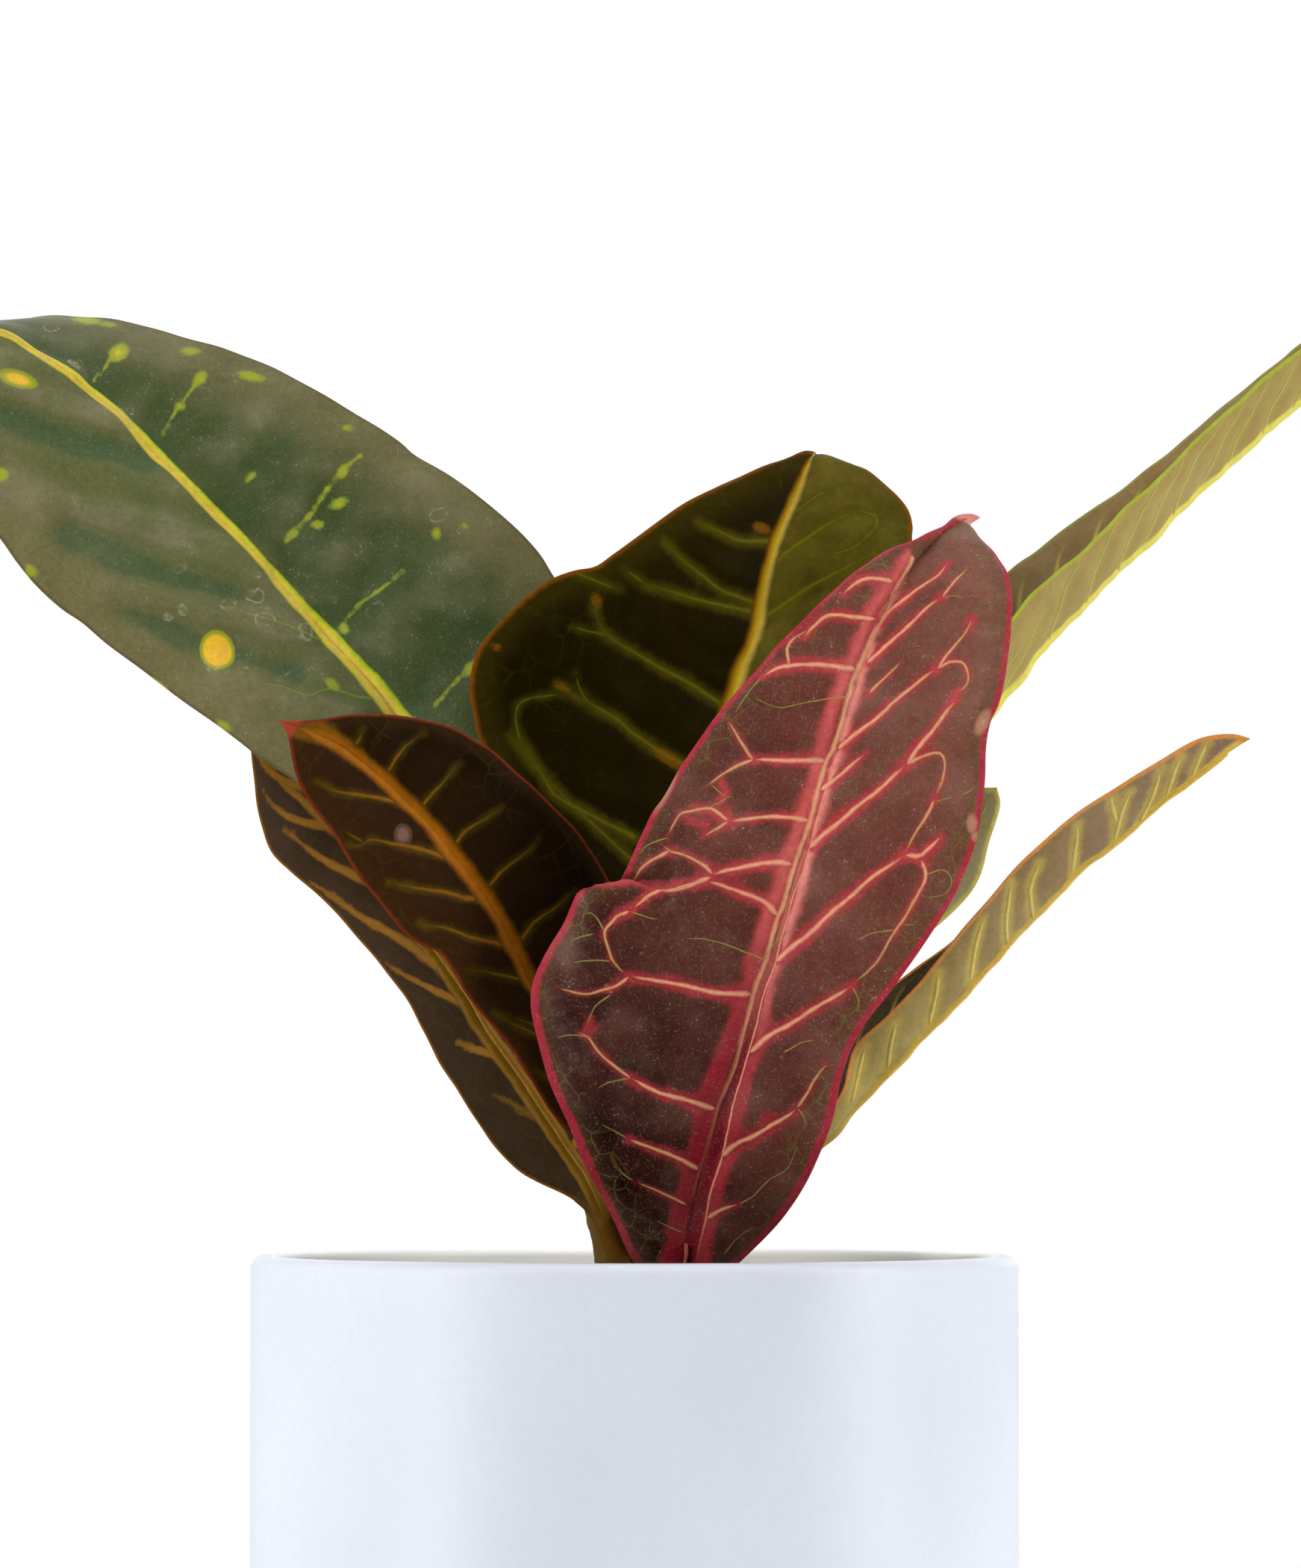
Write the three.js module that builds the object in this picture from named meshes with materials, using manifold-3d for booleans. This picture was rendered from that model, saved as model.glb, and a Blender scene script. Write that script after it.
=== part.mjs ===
import * as THREE from "three";
import { mergeVertices } from "three/addons/utils/BufferGeometryUtils.js";
import Module from "manifold-3d";

// A young potted croton: eight large leaves on a short stem, rooted in a plastic
// nursery pot that stands inside a plain white cover pot.
// Millimetres. The origin is the middle of the cover pot's underside, +Z is up,
// and the front of the plant faces -Y.

// Cover pot
const POT_RADIUS = 65;
const POT_HEIGHT = 125;
const POT_WALL = 5;
const POT_FLOOR = 6;
const POT_EDGE = 2;

// Nursery pot
const GAP = 0.3;
const INNER_TOP_RADIUS = 56;
const INNER_BASE_RADIUS = 44;
const INNER_BASE_Z = POT_FLOOR + GAP;
const INNER_RIM_Z = 117;
const INNER_WALL = 1.5;
const INNER_LIP = 2;
const DRAIN_RADIUS = 4;
const DRAIN_COUNT = 4;

// Soil
const SOIL_TOP_Z = 103;
const SOIL_BUMP = 1.1;

// Leaf sections
const BLADE_THICKNESS = 0.7;
const EDGE_ROUND = 0.3;
const STALK_RINGS = 8;

// Positions are read off the front view: across and down in view units, then the
// depth in millimetres behind the stem. The eye looks slightly upwards from just
// above the rim.
const VIEW_UNITS_PER_MM = 7.877;
const VIEW_CENTRE = [871.5, 1050];
const EYE = new THREE.Vector3(2.7, -1200, POT_HEIGHT + 25);
const LOOK_AT = new THREE.Vector3(2.7, 0, POT_HEIGHT + 80);
const LOOK = LOOK_AT.clone().sub(EYE).normalize();
const VIEW_RIGHT = new THREE.Vector3(1, 0, 0);
const VIEW_UP = VIEW_RIGHT.clone().cross(LOOK);
const VIEW_LENGTH = VIEW_UNITS_PER_MM * LOOK_AT.distanceTo(EYE);

function seen([across, down, back]) {
  const ray = LOOK.clone()
    .addScaledVector(VIEW_RIGHT, (across - VIEW_CENTRE[0]) / VIEW_LENGTH)
    .addScaledVector(VIEW_UP, (VIEW_CENTRE[1] - down) / VIEW_LENGTH);
  return EYE.clone().addScaledVector(ray, (back - EYE.y) / ray.y);
}

// Stem: centre line with the radius at each reading, ending in a pointed bud
const STEM = [
  [848, 2150, 0, 4.6], [848, 1860, 0, 4.8], [848, 1800, 0, 4.7], [840, 1740, 0, 4.6],
  [832, 1682, 0, 4.5], [814, 1608, 0.5, 4.2], [801, 1560, 1, 3.6], [793, 1530, 1, 2.6],
  [789, 1505, 1, 1.5], [787, 1485, 1, 0.5],
];

// Leaves: the midrib from the blade's base to its tip, then the left and the
// right margin as seen on the upper side with the tip up. swing turns the leaf
// round the stem: depth added for each hundred units across from swingFrom.
const LEAVES = [
  {
    name: "leaf_front_red",
    colour: 0x6b2f35,
    stalk: [[868, 1812, -1.5], [886, 1778, -7.5]],
    stalkRadius: 1.9,
    rib: [1.7, 0.4],
    puff: 2.2,
    swingFrom: 905,
    swing: 0,
    midrib: [
      [905, 1735, -12], [919, 1685, -15], [922, 1649, -17], [945, 1549, -22], [982, 1443, -27],
      [1009, 1340, -30], [1048, 1231, -32], [1080, 1125, -32], [1111, 1018, -30], [1152, 891, -26],
      [1202, 787, -19], [1250, 726, -11], [1285, 700, -4], [1311, 693, 2],
    ],
    left: [
      [905, 1735, -12], [870, 1712, -13], [851, 1687, -14], [830, 1648, -16], [808, 1607, -19],
      [787, 1567, -22], [765, 1512, -24], [744, 1467, -26], [731, 1431, -27], [717, 1376, -29],
      [712, 1340, -30], [717, 1309, -31], [735, 1272, -31.5], [758, 1236, -31.5], [776, 1202, -31],
      [794, 1189, -30], [826, 1186, -30], [839, 1163, -32], [871, 1095, -32], [889, 1068, -31],
      [916, 1022, -30], [944, 982, -30], [971, 945, -29], [1007, 905, -28], [1043, 864, -27],
      [1079, 828, -26], [1116, 791, -24], [1152, 762, -21], [1188, 739, -18], [1220, 726, -15],
      [1261, 708, -8], [1281, 692, -3], [1300, 689, 0], [1311, 693, 2],
    ],
    right: [
      [905, 1735, -12], [960, 1712, -13], [993, 1687, -14], [1025, 1657, -16], [1052, 1626, -19],
      [1079, 1585, -22], [1098, 1544, -25], [1116, 1494, -27], [1125, 1449, -29],
      [1138, 1408, -31], [1161, 1367, -33], [1193, 1327, -34], [1233, 1270, -36],
      [1270, 1213, -37], [1292, 1167, -37], [1308, 1122, -36], [1315, 1077, -35],
      [1319, 1045, -34], [1320, 1004, -33], [1326, 968, -32], [1338, 941, -31], [1347, 900, -29],
      [1353, 850, -26], [1355, 805, -22], [1349, 769, -17], [1333, 742, -12], [1310, 717, -6],
      [1297, 705, -1], [1311, 693, 2],
    ],
  },
  {
    name: "leaf_left_dark",
    colour: 0x2b1a10,
    stalk: [[850, 1692, -1.5], [862, 1655, -8.5]],
    stalkRadius: 1.5,
    rib: [1.5, 0.4],
    puff: 1.5,
    swingFrom: 815,
    swing: 4,
    midrib: [
      [815, 1570, -10], [790, 1490, -11], [762, 1415, -12.5], [732, 1362, -13.3],
      [712, 1325, -14], [700, 1300, -14.7], [676, 1250, -15.5], [646, 1200, -16.4],
      [609, 1150, -17.7], [568, 1100, -19.2], [545, 1076, -20], [518, 1050, -20.9],
      [488, 1025, -22], [457, 1000, -23.4], [425, 984, -24.8], [400, 975, -25.8], [376, 966, -27],
    ],
    left: [
      [815, 1570, -10], [795, 1550, -11], [773, 1526, -12], [740, 1490, -14], [711, 1444, -16],
      [683, 1401, -17], [644, 1355, -18], [622, 1326, -19], [608, 1301, -19.5], [590, 1276, -20],
      [569, 1267, -20.5], [544, 1251, -21], [526, 1230, -21.5], [501, 1198, -22],
      [483, 1176, -22.5], [461, 1141, -23], [444, 1112, -23.5], [422, 1084, -24.5],
      [404, 1055, -25], [394, 1026, -26], [389, 1001, -26.5], [385, 982, -27], [376, 966, -27],
    ],
    right: [
      [815, 1570, -10], [845, 1500, -9.5], [858, 1400, -10], [855, 1310, -11], [838, 1230, -12.5],
      [813, 1176, -14], [790, 1137, -15], [769, 1109, -15.5], [744, 1084, -16], [715, 1055, -16.5],
      [690, 1034, -17], [661, 1007, -18], [636, 991, -18.5], [608, 976, -19.5], [572, 966, -20.5],
      [536, 959, -22], [501, 957, -23], [465, 958, -24], [429, 964, -25.5], [397, 966, -26.5],
      [376, 966, -27],
    ],
  },
  {
    name: "leaf_back_olive",
    colour: 0x3a3a12,
    stalk: [[812, 1590, 2], [828, 1500, 8]],
    stalkRadius: 1.7,
    rib: [1.6, 0.4],
    puff: 1.5,
    swingFrom: 850,
    swing: 1.5,
    midrib: [
      [850, 1420, 11], [880, 1300, 14], [915, 1180, 16], [950, 1050, 17.5], [987, 908, 18.5],
      [1004, 866, 18.5], [1015, 832, 18.5], [1021, 790, 18.7], [1031, 748, 19], [1042, 715, 20],
      [1057, 681, 21.5], [1071, 647, 24], [1084, 618, 28], [1092, 611, 32], [1098, 625, 36],
    ],
    left: [
      [850, 1420, 11], [835, 1360, 9.5], [800, 1290, 8], [760, 1210, 7], [715, 1130, 7],
      [670, 1050, 8], [642, 988, 9], [636, 959, 9], [630, 925, 9], [634, 891, 9], [646, 862, 9],
      [672, 832, 9], [701, 803, 9.5], [735, 778, 10], [768, 765, 10.5], [798, 759, 11],
      [823, 742, 11.5], [852, 721, 12.5], [886, 696, 14], [924, 670, 16], [958, 654, 18],
      [991, 639, 20], [1025, 624, 22], [1055, 613, 25], [1080, 606, 29], [1094, 609, 33],
      [1098, 625, 36],
    ],
    right: [
      [850, 1420, 11], [905, 1370, 11], [985, 1270, 12.5], [1060, 1150, 13.5], [1110, 1070, 14],
      [1160, 980, 14.5], [1205, 880, 15], [1228, 790, 16], [1221, 725, 18], [1222, 706, 19],
      [1217, 685, 20.5], [1202, 664, 22], [1181, 645, 24], [1160, 630, 26], [1134, 620, 29],
      [1112, 612, 32], [1103, 614, 34], [1098, 625, 36],
    ],
  },
  {
    name: "leaf_left_green",
    colour: 0x5d6a44,
    stalk: [[803, 1560, 1.5], [775, 1480, 6], [740, 1400, 9]],
    stalkRadius: 1.8,
    rib: [1.7, 0.4],
    puff: 2,
    swingFrom: 740,
    swing: -2.8,
    midrib: [
      [690, 1240, 12], [640, 1130, 14], [585, 1030, 15], [521, 944, 16.2], [500, 918, 16.5],
      [450, 864, 17.2], [400, 811, 18], [350, 755, 18], [300, 700, 18], [250, 650, 18],
      [200, 598, 17.5], [150, 550, 16.5], [100, 511, 15], [50, 478, 13.2], [7, 448, 11.5],
      [-50, 440, 8], [-100, 465, 3], [-135, 540, -2],
    ],
    left: [
      [690, 1240, 12], [640, 1205, 10.5], [580, 1160, 9.5], [500, 1110, 8.5], [440, 1075, 7.5],
      [394, 1044, 7], [345, 1013, 6], [334, 1003, 6], [291, 970, 6], [242, 936, 6],
      [194, 899, 5.5], [145, 863, 5], [111, 834, 4.5], [82, 814, 4], [48, 783, 3], [24, 754, 2.5],
      [0, 720, 2], [-35, 680, 1], [-80, 635, -0.5], [-115, 590, -1.5], [-135, 540, -2],
    ],
    right: [
      [690, 1240, 12], [745, 1200, 15], [795, 1120, 18], [815, 1020, 20], [805, 920, 22],
      [775, 830, 23.5], [737, 766, 24.5], [722, 742, 25], [693, 710, 25], [654, 676, 25],
      [606, 640, 25.5], [557, 611, 26], [533, 591, 26], [485, 560, 26], [436, 531, 26.5],
      [364, 492, 28], [300, 468, 29], [242, 451, 30], [170, 431, 31], [97, 424, 31.5],
      [48, 425, 31], [0, 434, 29], [-60, 452, 22], [-110, 495, 10], [-135, 540, -2],
    ],
  },
  {
    name: "leaf_low_left",
    colour: 0x4a4032,
    stalk: [[850, 1788, -2], [844, 1738, -6.5], [830, 1690, -7]],
    stalkRadius: 1.7,
    rib: [1.5, 0.4],
    puff: 1.3,
    swingFrom: 812,
    swing: -2.2,
    midrib: [
      [812, 1640, -6.5], [792, 1588, -4.5], [773, 1559, -2.5], [745, 1517, 0], [712, 1465, 3],
      [679, 1418, 5.5], [650, 1375, 8], [622, 1328, 10], [589, 1281, 12], [540, 1220, 14.5],
      [490, 1150, 17], [440, 1080, 20], [400, 1010, 24], [380, 950, 27], [370, 890, 30],
    ],
    left: [
      [812, 1640, -6.5], [795, 1622, -6], [776, 1609, -5], [764, 1602, -4], [726, 1585, -2],
      [693, 1566, 0], [664, 1536, 2], [641, 1503, 4], [613, 1460, 6], [589, 1422, 8],
      [565, 1375, 10], [542, 1333, 12], [513, 1295, 13], [485, 1262, 14], [457, 1229, 15],
      [424, 1196, 16], [391, 1168, 17], [365, 1142, 18], [351, 1106, 20], [344, 1069, 21],
      [340, 1030, 23], [336, 990, 25], [340, 945, 27], [370, 890, 30],
    ],
    right: [
      [812, 1640, -6.5], [828, 1600, -5.5], [822, 1545, -3.5], [785, 1455, 0], [738, 1385, 3],
      [688, 1320, 6], [632, 1240, 10], [572, 1150, 14], [510, 1060, 18], [450, 980, 23],
      [400, 925, 27], [370, 890, 30],
    ],
  },
  {
    name: "leaf_right_high",
    colour: 0x9a8a4e,
    stalk: [[828, 1640, 2], [875, 1560, 6], [940, 1460, 10]],
    stalkRadius: 1.6,
    rib: [1.4, 0.4],
    puff: -1.5,
    swingFrom: 1000,
    swing: 2.9,
    midrib: [
      [1000, 1370, 12], [1100, 1230, 15], [1220, 1070, 19], [1340, 935, 22], [1383, 882, 23],
      [1407, 853, 24], [1452, 807, 25], [1493, 765, 26], [1535, 727, 27], [1573, 686, 28],
      [1611, 652, 29], [1645, 621, 30], [1700, 573, 31], [1743, 537, 32], [1800, 492, 33],
      [1860, 440, 33], [1905, 395, 32],
    ],
    left: [
      [1000, 1370, 12], [1050, 1200, 22], [1150, 1000, 30], [1260, 850, 35], [1354, 764, 37],
      [1390, 737, 38], [1445, 695, 38], [1500, 658, 38.5], [1542, 625, 39], [1569, 604, 39],
      [1611, 568, 40], [1645, 540, 40], [1686, 506, 40], [1717, 482, 40], [1743, 461, 40],
      [1800, 425, 38], [1850, 400, 36], [1905, 395, 32],
    ],
    right: [
      [1000, 1370, 12], [1070, 1225, 6], [1190, 1035, 6], [1300, 890, 8], [1357, 826, 9],
      [1383, 795, 10], [1418, 764, 11], [1445, 742, 12], [1480, 709, 13], [1504, 683, 14],
      [1555, 637, 16], [1583, 608, 17], [1624, 568, 18], [1659, 537, 20], [1693, 506, 21],
      [1724, 482, 22], [1790, 435, 25], [1850, 405, 28], [1905, 395, 32],
    ],
  },
  {
    name: "leaf_right_low",
    colour: 0x857a4c,
    stalk: [[842, 1735, 0], [890, 1690, -2], [940, 1655, -3]],
    stalkRadius: 1.4,
    rib: [1.2, 0.4],
    puff: -1,
    swingFrom: 985,
    swing: -2.9,
    midrib: [
      [985, 1620, -4], [1050, 1570, -5], [1110, 1519, -6], [1135, 1490, -6.5], [1169, 1454, -7],
      [1203, 1418, -7.5], [1258, 1363, -8], [1302, 1316, -9], [1345, 1268, -10],
      [1385, 1226, -10.5], [1422, 1187, -11], [1460, 1153, -12], [1499, 1122, -12.5],
      [1540, 1088, -13], [1580, 1055, -13.5], [1620, 1025, -14], [1650, 1003, -14],
      [1674, 989, -14],
    ],
    left: [
      [985, 1620, -4], [1020, 1540, 3], [1060, 1470, 7], [1120, 1400, 8], [1180, 1335, 8],
      [1225, 1297, 8], [1255, 1277, 7.5], [1275, 1263, 7], [1305, 1235, 6], [1340, 1200, 5],
      [1380, 1155, 3], [1420, 1118, 1], [1465, 1085, -1], [1510, 1058, -4], [1555, 1033, -7],
      [1600, 1005, -10], [1640, 992, -13], [1674, 989, -14],
    ],
    right: [
      [985, 1620, -4], [1040, 1560, -9], [1090, 1510, -12], [1127, 1464, -14], [1143, 1409, -15],
      [1158, 1388, -15.5], [1186, 1363, -16], [1228, 1321, -17], [1249, 1295, -18],
      [1270, 1270, -19], [1300, 1232, -20], [1334, 1194, -21], [1376, 1147, -22],
      [1418, 1109, -22], [1461, 1077, -22], [1503, 1050, -21], [1545, 1025, -20],
      [1587, 999, -18], [1617, 987, -16.5], [1651, 984, -15], [1674, 989, -14],
    ],
  },
  {
    name: "leaf_back_right",
    colour: 0x6e735c,
    stalk: [[836, 1690, 2.5], [890, 1610, 8]],
    stalkRadius: 1.3,
    rib: [1.1, 0.4],
    puff: 1,
    swingFrom: 950,
    swing: 3.5,
    midrib: [
      [950, 1520, 11], [1050, 1400, 14], [1140, 1280, 16], [1220, 1175, 17], [1285, 1100, 17],
      [1335, 1055, 16],
    ],
    left: [
      [950, 1520, 11], [1000, 1432, 14], [1085, 1322, 16], [1165, 1212, 18], [1245, 1115, 18],
      [1300, 1062, 17], [1335, 1055, 16],
    ],
    right: [
      [950, 1520, 11], [1030, 1478, 13], [1105, 1392, 14], [1175, 1315, 15], [1235, 1258, 15.5],
      [1275, 1222, 16], [1300, 1195, 16], [1315, 1165, 16], [1325, 1125, 16], [1339, 1080, 16],
      [1335, 1055, 16],
    ],
  },
];

const BLADE_STATIONS = [
  0, 0.015, 0.035, 0.065, 0.1, 0.145, 0.195, 0.25, 0.305, 0.36, 0.415, 0.47, 0.525, 0.58,
  0.635, 0.69, 0.745, 0.8, 0.85, 0.895, 0.93, 0.96, 0.982, 1,
];

const wasm = await Module();
wasm.setup();

function asManifold(geometry) {
  const bare = geometry.clone();
  bare.deleteAttribute("normal");
  bare.deleteAttribute("uv");
  const merged = mergeVertices(bare, 1e-5);
  return new wasm.Manifold(new wasm.Mesh({
    numProp: 3,
    vertProperties: new Float32Array(merged.attributes.position.array),
    triVerts: new Uint32Array(merged.index.array),
  }));
}

function asGeometry(manifold) {
  const mesh = manifold.getMesh();
  const geometry = new THREE.BufferGeometry();
  geometry.setAttribute("position", new THREE.BufferAttribute(mesh.vertProperties, 3));
  geometry.setIndex(new THREE.BufferAttribute(mesh.triVerts, 1));
  geometry.computeVertexNormals();
  return geometry;
}

// A closed skin over rings of equal size, each ring counter-clockwise as seen
// from the far end
function skin(rings) {
  const count = rings[0].length;
  const points = rings.flat();
  const index = [];
  for (let i = 0; i + 1 < rings.length; i++) {
    for (let k = 0; k < count; k++) {
      const a = i * count + k;
      const b = i * count + (k + 1) % count;
      index.push(a, b, b + count, a, b + count, a + count);
    }
  }
  const middle = (ring) => ring.reduce((sum, p) => sum.add(p), new THREE.Vector3())
    .divideScalar(count);
  const last = (rings.length - 1) * count;
  points.push(middle(rings[0]), middle(rings.at(-1)));
  for (let k = 0; k < count; k++) {
    const next = (k + 1) % count;
    index.push(next, k, points.length - 2);
    index.push(last + k, last + next, points.length - 1);
  }
  const geometry = new THREE.BufferGeometry().setFromPoints(points);
  geometry.setIndex(index);
  return geometry;
}

function curveThrough(points) {
  const curve = new THREE.CatmullRomCurve3(points, false, "catmullrom", 0.5);
  curve.arcLengthDivisions = 400;
  return curve;
}

function stemRings(extra) {
  const curve = curveThrough(STEM.map(seen));
  const rings = [];
  const steps = 22;
  for (let i = 0; i <= steps; i++) {
    const along = i / steps;
    const knot = along * (STEM.length - 1);
    const low = Math.min(Math.floor(knot), STEM.length - 2);
    const radius = THREE.MathUtils.lerp(STEM[low][3], STEM[low + 1][3], knot - low) + extra;
    const centre = curve.getPoint(along);
    rings.push(Array.from({ length: 16 }, (_, k) => {
      const angle = (k / 16) * 2 * Math.PI;
      return centre.clone().add(new THREE.Vector3(
        radius * Math.cos(angle), radius * Math.sin(angle), 0));
    }));
  }
  return rings;
}

// One leaf: a ring of 18 points at every station, 9 along the upper face and 9
// back along the lower one. The stalk's round section flows into the blade, and
// the lower face carries the raised midrib.
function leafRings(leaf) {
  const place = ([across, down, back]) => seen([
    across, down, back + leaf.swing * (across - leaf.swingFrom) / 100]);
  const midrib = curveThrough(leaf.midrib.map(place));
  const left = curveThrough(leaf.left.map(place));
  const right = curveThrough(leaf.right.map(place));
  const stalk = curveThrough([...leaf.stalk.map(seen), midrib.getPoint(0)]);

  const frame = (t) => {
    const along = midrib.getTangentAt(t);
    const near = THREE.MathUtils.clamp(t, 0.04, 0.96);
    const span = right.getPointAt(near).sub(left.getPointAt(near));
    const across = span.addScaledVector(along, -span.dot(along)).normalize();
    return { along, across, up: across.clone().cross(along) };
  };

  const rings = [];
  const base = frame(0);
  for (let i = 0; i < STALK_RINGS; i++) {
    const u = i / STALK_RINGS;
    const centre = stalk.getPointAt(u);
    const along = stalk.getTangentAt(u);
    const across = base.across.clone().addScaledVector(along, -base.across.dot(along)).normalize();
    const up = across.clone().cross(along);
    rings.push(Array.from({ length: 18 }, (_, k) => {
      const angle = Math.PI - ((k + 0.5) / 18) * 2 * Math.PI;
      return centre.clone()
        .addScaledVector(across, leaf.stalkRadius * Math.cos(angle))
        .addScaledVector(up, leaf.stalkRadius * Math.sin(angle));
    }));
  }

  for (const t of BLADE_STATIONS) {
    const { across, up } = frame(t);
    const centre = midrib.getPointAt(t);
    const edges = [left.getPointAt(t), right.getPointAt(t)];
    const width = edges[0].distanceTo(edges[1]);
    const ribWidth = THREE.MathUtils.lerp(leaf.rib[0], leaf.rib[1], t);
    const ribShare = Math.min(0.25, ribWidth / Math.max(width / 2, 1));
    const shares = [-1, -0.66, -0.33, -ribShare, 0, ribShare, 0.33, 0.66, 1];
    const stalkLeft = Math.max(0, 1 - t / 0.1) ** 2;
    const round = leaf.stalkRadius * stalkLeft + EDGE_ROUND * (1 - stalkLeft);
    const lift = leaf.puff * Math.min(1, width / 25) * 3.2;
    const point = (share, lower) => {
      const part = Math.abs(share);
      const edge = edges[share < 0 ? 0 : 1];
      const angle = Math.acos(THREE.MathUtils.clamp(share, -1, 1)) * (lower ? -1 : 1);
      const half = BLADE_THICKNESS / 2 * (1 - stalkLeft)
        + round * stalkLeft * Math.abs(Math.sin(angle));
      const onRib = part <= ribShare + 1e-6 ? (part < 1e-6 ? 1 : 0.55) : 0;
      const ribHeight = lower ? ribWidth * 0.75 * onRib * (1 - stalkLeft) : 0;
      const body = (round - EDGE_ROUND * (1 - stalkLeft)) * Math.cos(angle);
      return centre.clone().lerp(edge, part)
        .addScaledVector(up, lift * part * (1 - part))
        .addScaledVector(across, body + EDGE_ROUND * share)
        .addScaledVector(up, (lower ? -1 : 1) * (half + ribHeight));
    };
    const upper = shares.map((share) => point(share, false));
    const lower = shares.map((share) => point(share, true)).reverse();
    rings.push([...upper, ...lower]);
  }
  return rings;
}

function lathe(profile, segments) {
  const geometry = new THREE.LatheGeometry(
    profile.map(([r, z]) => new THREE.Vector2(r, z)), segments);
  return geometry.rotateX(Math.PI / 2);
}

function coverPot() {
  const e = POT_EDGE;
  const inner = POT_RADIUS - POT_WALL;
  return lathe([
    [0, 0], [POT_RADIUS - e, 0], [POT_RADIUS, e],
    [POT_RADIUS, POT_HEIGHT - e], [POT_RADIUS - 0.6, POT_HEIGHT - 0.6],
    [POT_RADIUS - e, POT_HEIGHT], [inner + 1, POT_HEIGHT], [inner, POT_HEIGHT - 1],
    [inner, POT_FLOOR + e], [inner - e, POT_FLOOR], [0, POT_FLOOR],
  ], 64);
}

function innerRadius(z) {
  const share = (z - INNER_BASE_Z) / (INNER_RIM_Z - INNER_BASE_Z);
  return THREE.MathUtils.lerp(INNER_BASE_RADIUS, INNER_TOP_RADIUS, share) - INNER_WALL;
}

function nurseryPot() {
  const floor = INNER_BASE_Z + INNER_WALL;
  const shell = asManifold(lathe([
    [0, INNER_BASE_Z], [INNER_BASE_RADIUS, INNER_BASE_Z],
    [INNER_TOP_RADIUS - 0.6, INNER_RIM_Z - 7],
    [INNER_TOP_RADIUS + INNER_LIP, INNER_RIM_Z - 7],
    [INNER_TOP_RADIUS + INNER_LIP, INNER_RIM_Z - 0.5],
    [INNER_TOP_RADIUS + INNER_LIP - 0.5, INNER_RIM_Z],
    [innerRadius(INNER_RIM_Z), INNER_RIM_Z],
    [innerRadius(floor), floor], [0, floor],
  ], 56));
  let pot = shell;
  for (let k = 0; k < DRAIN_COUNT; k++) {
    const angle = ((k + 0.5) / DRAIN_COUNT) * 2 * Math.PI;
    const drill = new THREE.CylinderGeometry(DRAIN_RADIUS, DRAIN_RADIUS, 8, 16)
      .rotateX(Math.PI / 2)
      .translate(28 * Math.cos(angle), 28 * Math.sin(angle), INNER_BASE_Z);
    pot = pot.subtract(asManifold(drill));
  }
  return asGeometry(pot);
}

function soilHeight(x, y) {
  return SOIL_TOP_Z + SOIL_BUMP * (
    0.5 * Math.sin(x * 0.31 + 1.3) * Math.cos(y * 0.27 - 0.4)
    + 0.35 * Math.sin(x * 0.63 - y * 0.52 + 2.1) + 0.15 * Math.cos(x * 0.9 + y * 1.1));
}

function soil(stemCutter) {
  const sides = 40;
  const bottom = INNER_BASE_Z + INNER_WALL + GAP;
  const rings = [];
  const ring = (radius, z) => Array.from({ length: sides }, (_, k) => {
    const angle = (k / sides) * 2 * Math.PI;
    const x = radius * Math.cos(angle);
    const y = radius * Math.sin(angle);
    return new THREE.Vector3(x, y, z ?? soilHeight(x, y));
  });
  rings.push(ring(innerRadius(bottom) - GAP, bottom));
  const edge = innerRadius(SOIL_TOP_Z) - GAP - 0.3;
  for (const share of [1, 0.85, 0.7, 0.55, 0.4, 0.25, 0.1]) rings.push(ring(edge * share));
  return asGeometry(asManifold(skin(rings)).subtract(stemCutter));
}

const plant = new THREE.Group();

function add(name, geometry, colour, roughness) {
  const mesh = new THREE.Mesh(geometry, new THREE.MeshStandardMaterial({
    color: colour, roughness, metalness: 0,
  }));
  mesh.name = name;
  plant.add(mesh);
}

const stemCutter = asManifold(skin(stemRings(GAP)));

add("pot", coverPot(), 0xeeeff2, 0.35);
add("nursery_pot", nurseryPot(), 0x2c2a28, 0.6);
add("soil", soil(stemCutter), 0x33241a, 0.95);
add("stem", skin(stemRings(0)), 0x6a5230, 0.8);
for (const leaf of LEAVES) {
  const solid = asManifold(skin(leafRings(leaf))).subtract(stemCutter);
  add(leaf.name, asGeometry(solid), leaf.colour, 0.45);
}

export default plant;
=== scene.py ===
import math

import bmesh
import bpy
import numpy as np
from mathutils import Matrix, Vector
from mathutils.bvhtree import BVHTree


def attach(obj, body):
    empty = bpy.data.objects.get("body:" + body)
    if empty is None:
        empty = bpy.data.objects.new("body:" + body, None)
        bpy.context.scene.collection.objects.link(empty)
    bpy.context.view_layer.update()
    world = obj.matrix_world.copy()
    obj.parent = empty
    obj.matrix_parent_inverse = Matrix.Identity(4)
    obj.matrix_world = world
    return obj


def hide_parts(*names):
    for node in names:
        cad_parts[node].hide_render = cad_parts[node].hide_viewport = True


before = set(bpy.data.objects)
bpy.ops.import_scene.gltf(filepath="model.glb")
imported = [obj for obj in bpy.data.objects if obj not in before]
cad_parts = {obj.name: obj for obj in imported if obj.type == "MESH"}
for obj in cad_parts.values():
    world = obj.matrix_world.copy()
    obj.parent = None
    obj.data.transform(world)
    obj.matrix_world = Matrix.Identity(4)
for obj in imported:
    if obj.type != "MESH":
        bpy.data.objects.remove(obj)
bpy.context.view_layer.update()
MM = 0.001

# Pot, in millimetres
POT_RADIUS = 65.0
POT_HEIGHT = 125.0

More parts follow.
